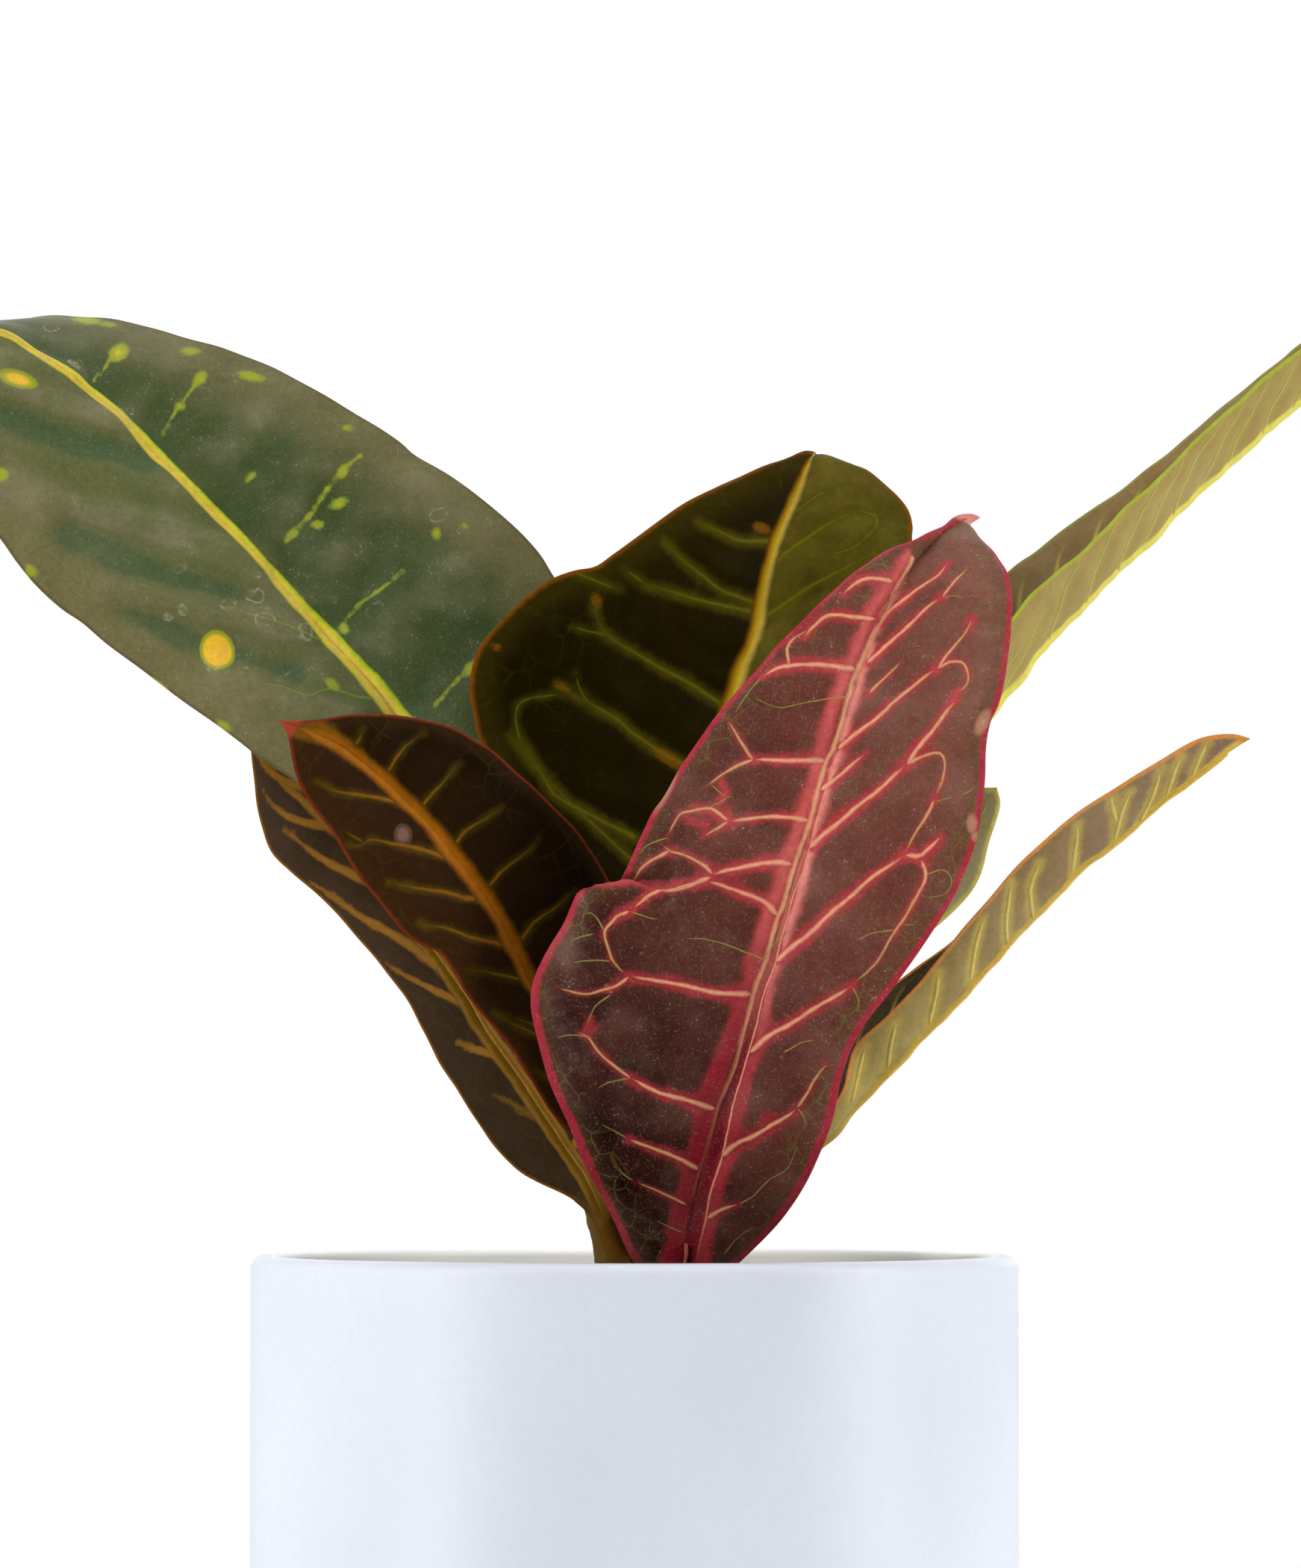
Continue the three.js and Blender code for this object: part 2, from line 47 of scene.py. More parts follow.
# The view that the leaves are placed in: positions across and down in view units,
# and a depth in millimetres behind the stem
VIEW_WIDTH = 1743
VIEW_HEIGHT = 2100
VIEW_UNITS_PER_MM = 7.877
VIEW_MIDDLE = 2.7
EYE_DISTANCE = 1200.0
EYE = np.array([VIEW_MIDDLE, -EYE_DISTANCE, POT_HEIGHT + 25])
LOOK_AT = np.array([VIEW_MIDDLE, 0.0, POT_HEIGHT + 80])
VIEW_LENGTH = VIEW_UNITS_PER_MM * np.linalg.norm(LOOK_AT - EYE)


def unit(v):
    return v / (np.linalg.norm(v, axis=-1, keepdims=True) + 1e-12)


LOOK = unit(LOOK_AT - EYE)
VIEW_RIGHT = np.array([1.0, 0.0, 0.0])
VIEW_UP = np.cross(VIEW_RIGHT, LOOK)


def view_ray(across, down):
    return (LOOK + VIEW_RIGHT * (across - VIEW_WIDTH / 2) / VIEW_LENGTH
            + VIEW_UP * (VIEW_HEIGHT / 2 - down) / VIEW_LENGTH)


def seen(across, down, back):
    """The point in space that shows at a place of the view, at a depth."""
    ray = view_ray(across, down)
    return EYE + ray * ((back - EYE[1]) / ray[1])


def on_view(points):
    rel = points - EYE
    far = rel @ LOOK
    return np.stack([VIEW_WIDTH / 2 + (rel @ VIEW_RIGHT) / far * VIEW_LENGTH,
                     VIEW_HEIGHT / 2 - (rel @ VIEW_UP) / far * VIEW_LENGTH], -1)


def lerp(a, b, u):
    return a + (b - a) * u


def ease(low, high, x):
    u = np.clip((x - low) / (high - low), 0, 1)
    return u * u * (3 - 2 * u)


def groups(text, size):
    """Numbers in a text, as lists of one size."""
    values = [float(v) for v in text.split()]
    return [values[i:i + size] for i in range(0, len(values), size)]


def smooth_line(points, per=20):
    p = np.asarray(points, float)
    ends = np.vstack([2 * p[0] - p[1], p, 2 * p[-1] - p[-2]])
    u = np.linspace(0, 1, per, endpoint=False)[:, None]
    out = []
    for i in range(len(p) - 1):
        a, b, c, d = ends[i:i + 4]
        m, n = (c - a) / 2, (d - b) / 2
        out.append((2 * b - 2 * c + m + n) * u ** 3 + (3 * c - 3 * b - 2 * m - n) * u ** 2 + m * u + b)
    out.append(p[-1:])
    return np.vstack(out)


class Curve:
    """A smooth line through points, read by its share of the length."""

    STEP = 0.004

    def __init__(self, points):
        self.line = smooth_line(points)
        step = np.linalg.norm(np.diff(self.line, axis=0), axis=1)
        self.length = step.sum()
        self.share = np.concatenate([[0], np.cumsum(step)]) / self.length

    def at(self, t):
        return np.stack([np.interp(t, self.share, self.line[:, k]) for k in range(3)], -1)

    def way(self, t):
        return unit(self.at(np.clip(t + self.STEP, 0, 1)) - self.at(np.clip(t - self.STEP, 0, 1)))


# Leaves: rails as in the solids, with across, down and depth of each point. Both edges start and
# end where the midrib does. turn: from where across the depth grows, and its growth in mm for 100.
# rib: width at base and tip; puff: how the halves bulge.
LEAVES = {
    "leaf_front_red": dict(
        stalk=[(868, 1812, -1.5), (886, 1778, -7.5)], stalk_radius=1.9, rib=(1.7, 0.4), puff=2.2,
        turn=(905, 0),
        midrib="""905 1735 -12  919 1685 -15  922 1649 -17  945 1549 -22  982 1443 -27  1009 1340 -30
            1048 1231 -32  1080 1125 -32  1111 1018 -30  1152 891 -26  1202 787 -19  1250 726 -11
            1285 700 -4  1311 693 2""",
        left="""870 1712 -13  851 1687 -14  830 1648 -16  808 1607 -19  787 1567 -22  765 1512 -24
            744 1467 -26  731 1431 -27  717 1376 -29  712 1340 -30  717 1309 -31  735 1272 -31.5
            758 1236 -31.5  776 1202 -31  794 1189 -30  826 1186 -30  839 1163 -32  871 1095 -32
            889 1068 -31  916 1022 -30  944 982 -30  971 945 -29  1007 905 -28  1043 864 -27
            1079 828 -26  1116 791 -24  1152 762 -21  1188 739 -18  1220 726 -15  1261 708 -8
            1281 692 -3  1300 689 0""",
        right="""960 1712 -13  993 1687 -14  1025 1657 -16  1052 1626 -19  1079 1585 -22  1098 1544 -25
            1116 1494 -27  1125 1449 -29  1138 1408 -31  1161 1367 -33  1193 1327 -34  1233 1270 -36
            1270 1213 -37  1292 1167 -37  1308 1122 -36  1315 1077 -35  1319 1045 -34  1320 1004 -33
            1326 968 -32  1338 941 -31  1347 900 -29  1353 850 -26  1355 805 -22  1349 769 -17
            1333 742 -12  1310 717 -6  1297 705 -1""",
    ),
    "leaf_left_dark": dict(
        stalk=[(850, 1692, -1.5), (862, 1655, -8.5)], stalk_radius=1.5, rib=(1.5, 0.4), puff=1.5,
        turn=(815, 4),
        midrib="""815 1570 -10  790 1490 -11  762 1415 -12.5  732 1362 -13.3  712 1325 -14  700 1300 -14.7
            676 1250 -15.5  646 1200 -16.4  609 1150 -17.7  568 1100 -19.2  545 1076 -20  518 1050 -20.9
            488 1025 -22  457 1000 -23.4  425 984 -24.8  400 975 -25.8  376 966 -27""",
        left="""795 1550 -11  773 1526 -12  740 1490 -14  711 1444 -16  683 1401 -17  644 1355 -18
            622 1326 -19  608 1301 -19.5  590 1276 -20  569 1267 -20.5  544 1251 -21  526 1230 -21.5
            501 1198 -22  483 1176 -22.5  461 1141 -23  444 1112 -23.5  422 1084 -24.5  404 1055 -25
            394 1026 -26  389 1001 -26.5  385 982 -27""",
        right="""845 1500 -9.5  858 1400 -10  855 1310 -11  838 1230 -12.5  813 1176 -14  790 1137 -15
            769 1109 -15.5  744 1084 -16  715 1055 -16.5  690 1034 -17  661 1007 -18  636 991 -18.5
            608 976 -19.5  572 966 -20.5  536 959 -22  501 957 -23  465 958 -24  429 964 -25.5
            397 966 -26.5""",
    ),
    "leaf_back_olive": dict(
        stalk=[(812, 1590, 2), (828, 1500, 8)], stalk_radius=1.7, rib=(1.6, 0.4), puff=1.5,
        turn=(850, 1.5),
        midrib="""850 1420 11  880 1300 14  915 1180 16  950 1050 17.5  987 908 18.5  1004 866 18.5
            1015 832 18.5  1021 790 18.7  1031 748 19  1042 715 20  1057 681 21.5  1071 647 24
            1084 618 28  1092 611 32  1098 625 36""",
        left="""835 1360 9.5  800 1290 8  760 1210 7  715 1130 7  670 1050 8  642 988 9  636 959 9
            630 925 9  634 891 9  646 862 9  672 832 9  701 803 9.5  735 778 10  768 765 10.5
            798 759 11  823 742 11.5  852 721 12.5  886 696 14  924 670 16  958 654 18  991 639 20
            1025 624 22  1055 613 25  1080 606 29  1094 609 33""",
        right="""905 1370 11  985 1270 12.5  1060 1150 13.5  1110 1070 14  1160 980 14.5  1205 880 15
            1228 790 16  1221 725 18  1222 706 19  1217 685 20.5  1202 664 22  1181 645 24  1160 630 26
            1134 620 29  1112 612 32  1103 614 34""",
    ),
    "leaf_left_green": dict(
        stalk=[(803, 1560, 1.5), (775, 1480, 6), (740, 1400, 9)], stalk_radius=1.8,
        rib=(1.7, 0.4), puff=2, turn=(740, -2.8),
        midrib="""690 1240 12  640 1130 14  585 1030 15  521 944 16.2  500 918 16.5  450 864 17.2
            400 811 18  350 755 18  300 700 18  250 650 18  200 598 17.5  150 550 16.5  100 511 15
            50 478 13.2  7 448 11.5  -50 440 8  -100 465 3  -135 540 -2""",
        left="""640 1205 10.5  580 1160 9.5  500 1110 8.5  440 1075 7.5  394 1044 7  345 1013 6
            334 1003 6  291 970 6  242 936 6  194 899 5.5  145 863 5  111 834 4.5  82 814 4  48 783 3
            24 754 2.5  0 720 2  -35 680 1  -80 635 -0.5  -115 590 -1.5""",
        right="""745 1200 15  795 1120 18  815 1020 20  805 920 22  775 830 23.5  737 766 24.5  722 742 25
            693 710 25  654 676 25  606 640 25.5  557 611 26  533 591 26  485 560 26  436 531 26.5
            364 492 28  300 468 29  242 451 30  170 431 31  97 424 31.5  48 425 31  0 434 29  -60 452 22
            -110 495 10""",
    ),
    "leaf_low_left": dict(
        stalk=[(850, 1788, -2), (844, 1738, -6.5), (830, 1690, -7)], stalk_radius=1.7,
        rib=(1.5, 0.4), puff=1.3, turn=(812, -2.2),
        midrib="""812 1640 -6.5  792 1588 -4.5  773 1559 -2.5  745 1517 0  712 1465 3  679 1418 5.5
            650 1375 8  622 1328 10  589 1281 12  540 1220 14.5  490 1150 17  440 1080 20  400 1010 24
            380 950 27  370 890 30""",
        left="""795 1622 -6  776 1609 -5  764 1602 -4  726 1585 -2  693 1566 0  664 1536 2  641 1503 4
            613 1460 6  589 1422 8  565 1375 10  542 1333 12  513 1295 13  485 1262 14  457 1229 15
            424 1196 16  391 1168 17  365 1142 18  351 1106 20  344 1069 21  340 1030 23  336 990 25
            340 945 27""",
        right="""828 1600 -5.5  822 1545 -3.5  785 1455 0  738 1385 3  688 1320 6  632 1240 10
            572 1150 14  510 1060 18  450 980 23  400 925 27""",
    ),
    "leaf_right_high": dict(
        stalk=[(828, 1640, 2), (875, 1560, 6), (940, 1460, 10)], stalk_radius=1.6,
        rib=(1.4, 0.4), puff=-1.5, turn=(1000, 2.9),
        midrib="""1000 1370 12  1100 1230 15  1220 1070 19  1340 935 22  1383 882 23  1407 853 24
            1452 807 25  1493 765 26  1535 727 27  1573 686 28  1611 652 29  1645 621 30  1700 573 31
            1743 537 32  1800 492 33  1860 440 33  1905 395 32""",
        left="""1050 1200 22  1150 1000 30  1260 850 35  1354 764 37  1390 737 38  1445 695 38
            1500 658 38.5  1542 625 39  1569 604 39  1611 568 40  1645 540 40  1686 506 40  1717 482 40
            1743 461 40  1800 425 38  1850 400 36""",
        right="""1070 1225 6  1190 1035 6  1300 890 8  1357 826 9  1383 795 10  1418 764 11  1445 742 12
            1480 709 13  1504 683 14  1555 637 16  1583 608 17  1624 568 18  1659 537 20  1693 506 21
            1724 482 22  1790 435 25  1850 405 28""",
    ),
    "leaf_right_low": dict(
        stalk=[(842, 1735, 0), (890, 1690, -2), (940, 1655, -3)], stalk_radius=1.4,
        rib=(1.2, 0.4), puff=-1, turn=(985, -2.9),
        midrib="""985 1620 -4  1050 1570 -5  1110 1519 -6  1135 1490 -6.5  1169 1454 -7  1203 1418 -7.5
            1258 1363 -8  1302 1316 -9  1345 1268 -10  1385 1226 -10.5  1422 1187 -11  1460 1153 -12
            1499 1122 -12.5  1540 1088 -13  1580 1055 -13.5  1620 1025 -14  1650 1003 -14  1674 989 -14""",
        left="""1020 1540 3  1060 1470 7  1120 1400 8  1180 1335 8  1225 1297 8  1255 1277 7.5
            1275 1263 7  1305 1235 6  1340 1200 5  1380 1155 3  1420 1118 1  1465 1085 -1  1510 1058 -4
            1555 1033 -7  1600 1005 -10  1640 992 -13""",
        right="""1040 1560 -9  1090 1510 -12  1127 1464 -14  1143 1409 -15  1158 1388 -15.5  1186 1363 -16
            1228 1321 -17  1249 1295 -18  1270 1270 -19  1300 1232 -20  1334 1194 -21  1376 1147 -22
            1418 1109 -22  1461 1077 -22  1503 1050 -21  1545 1025 -20  1587 999 -18  1617 987 -16.5
            1651 984 -15""",
    ),
    "leaf_back_right": dict(
        stalk=[(836, 1690, 2.5), (890, 1610, 8)], stalk_radius=1.3, rib=(1.1, 0.4), puff=1,
        turn=(950, 3.5),
        midrib="""950 1520 11  1050 1400 14  1140 1280 16  1220 1175 17  1285 1100 17  1335 1055 16""",
        left="""1000 1432 14  1085 1322 16  1165 1212 18  1245 1115 18  1300 1062 17""",
        right="""1030 1478 13  1105 1392 14  1175 1315 15  1235 1258 15.5  1275 1222 16  1300 1195 16
            1315 1165 16  1325 1125 16  1339 1080 16""",
    ),
}

# Kinds of veins and marks: the vein's width, the halo's reach and the vein's tint, each at both
# ends, then the halo's tint. Tints run from green at 0 over tan to pink at 1; width and reach are
# in view units.
KINDS = {
    "line": ((10, 10), (0, 0), (0.7, 0.6), 0),
    # edge: a painted highlight along the lit side of the red leaf's midrib groove
    "edge": ((2.5, 5), (0, 0), (0.9, 0.95), 0),
    "left glow": ((0, 0), (9, 14), (1, 1), 0.33),
    "right glow": ((0, 0), (6, 9), (1, 1), 1),
    # The groove's halo is a painted shadow in the red leaf's midrib groove
    "painted_groove_shadow": ((0, 0), (4, 14), (1, 1), 0),
    "main": ((10.5, 6.5), (12, 6), (0.85, 0.6), 0.66),
    "pale": ((9, 6), (10, 4), (0.75, 0.5), 0.66),
    "fork": ((6.5, 4), (5, 0), (0.6, 0.3), 0.6),
    "thin": ((3.4, 2.2), (0, 0), (0.2, 0.0), 0),
    "patch": ((0, 0), (6, 4), (1, 1), 0.66),
    # The crease's pink line is a painted highlight along the red leaf's fold
    "crease": ((4, 3), (10, 3), (0.9, 0.6), 0.7),
    "soft": ((10, 6), (7.5, 5), (0.5, 0.1), 0.45),
    "faint": ((7, 4), (5, 2), (0.2, 0.1), 0.2),
    "twig": ((9, 4.5), (9, 3), (0.8, 0.15), 0.4),
    "branch": ((10, 4.5), (7, 2.5), (0.85, 0.4), 0.6),
    "bar": ((24, 8), (5, 2), (0.8, 0.6), 0.8),
    "bar thin": ((18, 6), (4, 1), (0.8, 0.45), 0.7),
    "keel bar": ((8, 7), (10, 7), (0.85, 0.6), 0.9),
    "haze": ((0, 0), (5, 17), (1, 1), 0.9),
    "keel line": ((6, 3.5), (9, 5), (0.6, 0.4), 0.4),
}
SIDE_VEINS = ("main", "pale", "soft", "bar", "bar thin", "faint", "twig", "branch")

# Veins and marks as they show from the front: a kind, then across and down
MARKS = {
    "leaf_front_red": [
        ("line", "1221 745 1189 814 1149 893 1136 936 1117 1000 1105 1025 1085 1100 1064 1160 "
                 "1050 1212 1042 1230 1027 1282 1010 1332 995 1390 979 1442 961 1484 949 1531 "
                 "936 1567 926 1609"),
        ("right glow", "1216 760 1196 802 1172 850 1160 890 1150 925 1126 1000 1108 1060 1087 1130 "
                       "1079 1175 1063 1225 1045 1282 1031 1325 1022 1375 1009 1407 1002 1442 "
                       "989 1491 974 1547 962 1591 950 1636 940 1690"),
        ("left glow", "1215 742 1202 766 1165 819 1142 880 1121 930 1104 985 1094 1035 1072 1100 "
                      "1052 1160 1045 1187 1030 1225 1015 1275 1004 1320 991 1355 979 1391 963 1430 "
                      "945 1482 936 1535 924 1575 912 1620 902 1668 896 1700"),
        # Painted shadow in the midrib's groove, then a painted highlight on the groove's lit edge
        ("painted_groove_shadow", "1108 1040 1090 1102 1076 1150 1062 1200 1047 1250 1035 1290 1020 1330 1007 1375 "
                   "999 1400 986 1442 970 1491 957 1547 943 1591 932 1636 921 1690"),
        ("edge", "1118 1032 1100 1082 1085 1137 1074 1175 1057 1225 1041 1282 1027 1325 1013 1375 "
                 "1004 1407 994 1442 981 1491 968 1547 955 1591 945 1636 934 1690"),
        # A painted highlight along the lower lobe's fold
        ("crease", "800 1192 822 1193 850 1192 894 1189 925 1183 943 1178"),
        ("pale", "1196 780 1176 776 1155 777 1136 790 1128 800"),
        ("pale", "1172 830 1140 826 1111 825 1090 840 1075 855"),
        ("main", "1147 898 1100 890 1057 893 1038 897 1020 908"),
        ("fork", "1057 893 1056 870 1066 855 1085 842"),
        ("thin", "1020 908 1005 925 992 945 984 962"),
        ("thin", "1138 934 1110 936 1075 943 1043 948 1020 940 1003 930"),
        ("thin", "1043 948 1044 970"),
        ("main", "1107 1019 1070 1018 1040 1018 1009 1018"),
        ("fork", "1009 1018 996 998 985 982 978 970 972 965"),
        ("fork", "1009 1018 990 1025 975 1033 962 1042 953 1050 945 1056"),
        ("thin", "953 1050 965 1062 975 1068 990 1068"),
        ("thin", "975 1068 960 1078 940 1088"),
        ("pale", "1084 1100 1060 1095 1035 1094 1010 1097 975 1100"),
        ("fork", "975 1100 962 1090 950 1084 930 1087 912 1091 902 1107 896 1122"),
        ("fork", "975 1100 960 1111 940 1122"),
        ("thin", "896 1122 875 1129 862 1137 852 1152"),
        ("patch", "965 1045 972 1058 966 1075"),
        ("patch", "935 1085 950 1088 965 1096 975 1085"),
        ("patch", "925 1100 945 1105"),
        ("main", "1061 1157 1040 1155 1002 1160 970 1166 953 1173"),
        ("fork", "955 1171 940 1157 915 1144 897 1140 886 1128"),
        ("fork", "897 1140 875 1152 860 1162 850 1177 845 1187"),
        ("pale", "953 1175 925 1184 890 1195 860 1212 846 1222"),
        ("fork", "845 1222 830 1228 822 1236 812 1250 815 1265 822 1287 840 1307"),
        ("main", "1042 1226 1027 1210 1007 1200 972 1187 945 1180"),
        ("thin", "1025 1285 1000 1275 972 1265 940 1257 910 1256"),
        ("thin", "845 1222 875 1232 890 1230"),
        ("main", "1007 1332 965 1330 915 1320 877 1312 842 1307"),
        ("fork", "842 1307 825 1320 802 1327 785 1330 745 1322"),
        ("thin", "820 1287 790 1286 760 1289"),
        ("thin", "800 1252 775 1257 758 1265"),
        ("thin", "812 1250 797 1227 775 1230"),
        ("thin", "820 1330 800 1345 790 1365 785 1380"),
        ("main", "959 1485 920 1474 880 1462 844 1444"),
        ("fork", "844 1444 820 1425 800 1405 788 1388 770 1380"),
        ("patch", "792 1366 786 1384 800 1372"),
        ("thin", "844 1444 815 1450 795 1460"),
        ("thin", "788 1388 760 1385 738 1392"),
        ("pale", "937 1567 910 1551 872 1537 840 1524"),
        ("thin", "840 1524 815 1510 800 1500"),
        ("fork", "920 1612 892 1600 872 1590 850 1580"),
        ("thin", "850 1580 835 1570 825 1555"),
        ("thin", "915 1650 895 1642 875 1630"),
        ("pale", "1180 835 1195 815 1225 795 1256 772 1270 755"),
        ("pale", "1161 888 1190 862 1220 835 1245 812 1262 800"),
        ("thin", "1262 800 1280 800 1297 807"),
        ("fork", "1262 800 1285 775 1300 760"),
        ("fork", "1165 930 1190 905 1210 885"),
        ("pale", "1122 1003 1160 972 1205 935 1235 908 1256 895"),
        ("fork", "1256 895 1275 888 1292 891 1296 915 1280 930"),
        ("fork", "1256 895 1280 865 1295 845 1303 828"),
        ("patch", "1303 830 1298 845"),
        ("patch", "1285 925 1270 945 1280 935"),
        ("pale", "1100 1060 1130 1035 1160 1010"),
        ("main", "1085 1136 1110 1112 1145 1083 1180 1055 1215 1024"),
        ("pale", "1215 1024 1240 990 1262 962 1282 938"),
        ("fork", "1215 1022 1238 1013 1260 1010 1266 1022 1262 1045 1252 1072"),
        ("fork", "1252 1072 1238 1098 1225 1120 1213 1142"),
        ("thin", "1252 1076 1270 1070 1285 1066"),
        ("thin", "1285 1066 1300 1060 1310 1045"),
        ("main", "1039 1288 1060 1270 1092 1243 1125 1212 1155 1187 1185 1163 1213 1144"),
        ("pale", "1213 1144 1230 1147 1242 1140 1262 1120"),
        ("fork", "1235 1152 1240 1172 1232 1195 1212 1228 1200 1245 1180 1280 1160 1302 1142 1320"),
        ("thin", "1240 1172 1262 1165 1275 1180 1265 1198 1235 1200"),
        ("thin", "1200 1245 1170 1250 1140 1262"),
        ("thin", "1208 1238 1235 1240"),
        ("main", "1004 1410 1030 1388 1060 1370 1085 1355 1112 1338 1142 1320"),
        ("thin", "1142 1320 1150 1340 1145 1362"),
        ("main", "966 1550 987 1532 1012 1520 1035 1507 1055 1495 1068 1483"),
        ("fork", "1068 1483 1080 1465 1095 1440 1110 1420"),
        ("thin", "1068 1483 1078 1500 1074 1520"),
        ("pale", "946 1632 970 1619 990 1612"),
        ("thin", "990 1612 1010 1600 1032 1577 1055 1562 1072 1527"),
        ("thin", "967 1680 990 1655 1017 1635"),
        ("patch", "1030 1490 1022 1500"),
        ("thin", "1015 1290 1040 1262 1070 1240"),
        ("thin", "1048 1410 1078 1395 1100 1392"),
    ],
    "leaf_left_dark": [
        ("twig", "470 1007 480 988 487 975"),
        ("twig", "519 1035 543 1000 568 982"),
        ("haze", "540 1066 500 1034 457 1000 425 980 398 968"),
        ("twig", "561 1088 580 1062 606 1033 618 1022"),
        ("twig", "606 1136 624 1114 650 1096 672 1081"),
        ("twig", "650 1192 672 1168 698 1147 722 1127"),
        ("twig", "700 1256 720 1233 750 1210 772 1192"),
        ("twig", "728 1320 755 1290 790 1265 818 1245"),
        ("branch", "540 1077 506 1068 480 1064 450 1060 424 1046"),
        ("branch", "590 1145 550 1134 524 1129 498 1125 483 1133 465 1133"),
        ("faint", "487 1129 468 1118 457 1112"),
        ("branch", "624 1203 600 1195 572 1192 550 1188 520 1181"),
        ("branch", "668 1264 631 1255 600 1244 572 1240 561 1236"),
        ("twig", "700 1314 676 1307 646 1301 624 1299"),
        ("twig", "738 1385 710 1372 680 1362"),
    ],
    "leaf_back_olive": [
        ("soft", "1014 809 990 800 966 790 937 768 908 745 890 727"),
        ("soft", "1004 818 960 810 920 799 880 788 861 782"),
        ("faint", "861 782 848 770 836 761"),
        ("soft", "1018 726 990 724 960 712 935 700"),
        ("soft", "966 942 935 922 903 904 860 880 815 852 800 830 797 803"),
        ("faint", "815 852 785 845 765 838"),
        ("soft", "911 1022 890 1010 869 997 845 980 827 963 800 948 770 932 747 917"),
        ("faint", "790 945 778 925 770 900"),
        ("soft", "852 1123 802 1098 747 1068 726 1039 697 992"),
        ("faint", "697 992 690 959 700 940 730 932 755 930"),
        ("soft", "1026 826 1059 803 1105 774 1151 753 1180 735"),
        ("soft", "1046 748 1070 728 1097 710 1125 695 1150 684"),
        ("faint", "1150 684 1172 692 1170 712 1140 735 1105 745"),
        ("faint", "1062 690 1090 668 1115 655"),
        ("faint", "768 765 800 780 830 790"),
    ],
    "leaf_left_green": [
        ("faint", "415 853 383 842 345 830 310 817"),
        ("faint", "480 934 440 925 414 934 379 923 345 917"),
    ],
    "leaf_low_left": [
        ("bar", "440 1105 424 1090 400 1068 380 1051 359 1029"),
        ("bar", "505 1188 476 1173 446 1159 417 1140 391 1118 382 1112"),
        ("bar", "590 1296 572 1284 550 1266 513 1244 480 1225 450 1203 415 1180"),
        ("bar thin", "612 1340 580 1325 550 1310 525 1294 509 1284"),
        ("bar", "668 1415 657 1412 631 1403 613 1397"),
        ("faint", "720 1500 690 1480 660 1465"),
    ],
    "leaf_back_right": [
        ("thin", "1298 1120 1312 1105 1328 1090"),
        ("thin", "1285 1160 1300 1140 1318 1128"),
        ("thin", "1310 1098 1320 1080 1325 1068"),
    ],
}

# Marks on the undersides that face the front, on the half that is nearer
UNDER_MARKS = {
    "leaf_right_high": [("keel line", text) for text in (
        "1300 985 1340 905 1375 850", "1340 930 1372 870 1400 815", "1404 855 1424 792 1446 748",
        "1452 805 1474 742 1500 690", "1496 762 1520 702 1552 642", "1530 725 1558 665 1588 608",
        "1570 688 1592 630 1634 566", "1608 652 1632 598 1668 532", "1644 620 1664 570 1702 506",
        "1690 580 1708 535 1738 482", "1730 545 1756 495 1782 448", "1775 508 1798 465 1820 428")],
    "leaf_right_low": [("keel bar", text) for text in (
        "1140 1478 1148 1440 1160 1400", "1187 1428 1192 1400 1200 1366",
        "1245 1372 1252 1335 1257 1300", "1300 1312 1305 1270 1318 1228",
        "1348 1262 1348 1225 1354 1182", "1382 1226 1380 1190 1392 1152",
        "1437 1168 1440 1135 1444 1104", "1490 1130 1500 1092 1514 1058",
        "1495 1100 1488 1075 1490 1062", "1560 1072 1570 1040 1582 1012",
        "1597 1040 1607 1012 1618 992", "1527 1098 1545 1062 1556 1030")],
}

# Midribs as they show from the front: across, down and width
RIBS = {
    "leaf_left_green": "585 1030 37 521 944 34 450 864 29 360 768 23 300 700 20 200 598 18 "
                       "100 511 14 7 448 10",
    "leaf_back_olive": "987 908 34 1010 850 28 1031 748 25 1042 715 24 1057 681 25 1071 647 22 "
                       "1086 616 13",
    "leaf_left_dark": "712 1325 32 676 1250 34 609 1150 34 545 1076 31 457 1000 30 425 984 34 "
                      "400 975 28 386 970 18",
    "leaf_low_left": "764 1550 28 695 1450 31 626 1350 32 540 1220 24 440 1080 12",
}

# Spots: across, down, half width, half height, lean in degrees
SPOTS = {
    "leaf_left_green": [
        (291, 872, 23, 27, 15), (22, 511, 27, 11, -15), (445, 918, 9, 5, -35), (336, 506, 15, 5, -15),
        (159, 473, 14, 10, 40), (255, 473, 9, 4, 0), (116, 430, 16, 6, -10), (146, 437, 6, 3, 0),
        (426, 703, 7, 5, 0), (454, 675, 10, 6, 20), (392, 716, 9, 4, 45), (459, 632, 9, 6, 45),
        (466, 575, 5, 3, 0), (585, 715, 5, 6, 0), (622, 706, 4, 3, 0), (462, 844, 5, 5, 0),
        (2, 637, 8, 8, 0), (41, 765, 8, 6, -40), (212, 918, 12, 5, -35), (300, 972, 9, 4, -35),
        (336, 639, 7, 3, 45), (268, 508, 9, 6, 45), (241, 545, 5, 4, 0), (630, 895, 10, 6, 50),
        (-60, 560, 22, 14, 30), (620, 1090, 16, 12, 0), (700, 980, 12, 9, 20),
    ],
    "leaf_front_red": [(1316, 968, 7, 16, -25), (1302, 1103, 6, 11, 0), (1306, 1120, 4, 6, 0),
                       (893, 1060, 3.5, 22, -28)],
    "leaf_left_dark": [(539, 1118, 11, 14, 20)],
    "leaf_back_olive": [(1019, 707, 11, 6, -15), (895, 1015, 20, 7, -33), (799, 804, 5, 10, 10),
                        (664, 866, 6, 4, -40), (753, 920, 9, 4, -35)],
}
# Dotted streaks: reach, then across and down
STREAKS = {
    "leaf_left_green": [
        (2.8, "384 725 400 708 424 678 440 655 459 630 483 613"),
        (1.4, "124 511 150 482 165 470"), (1.5, "217 582 241 544 255 523 272 504"),
        (1.8, "452 848 466 827 483 810 514 786 541 765"), (2.0, "583 945 610 915 632 888"),
        (1.6, "105 429 128 438 150 436"),
    ],
}
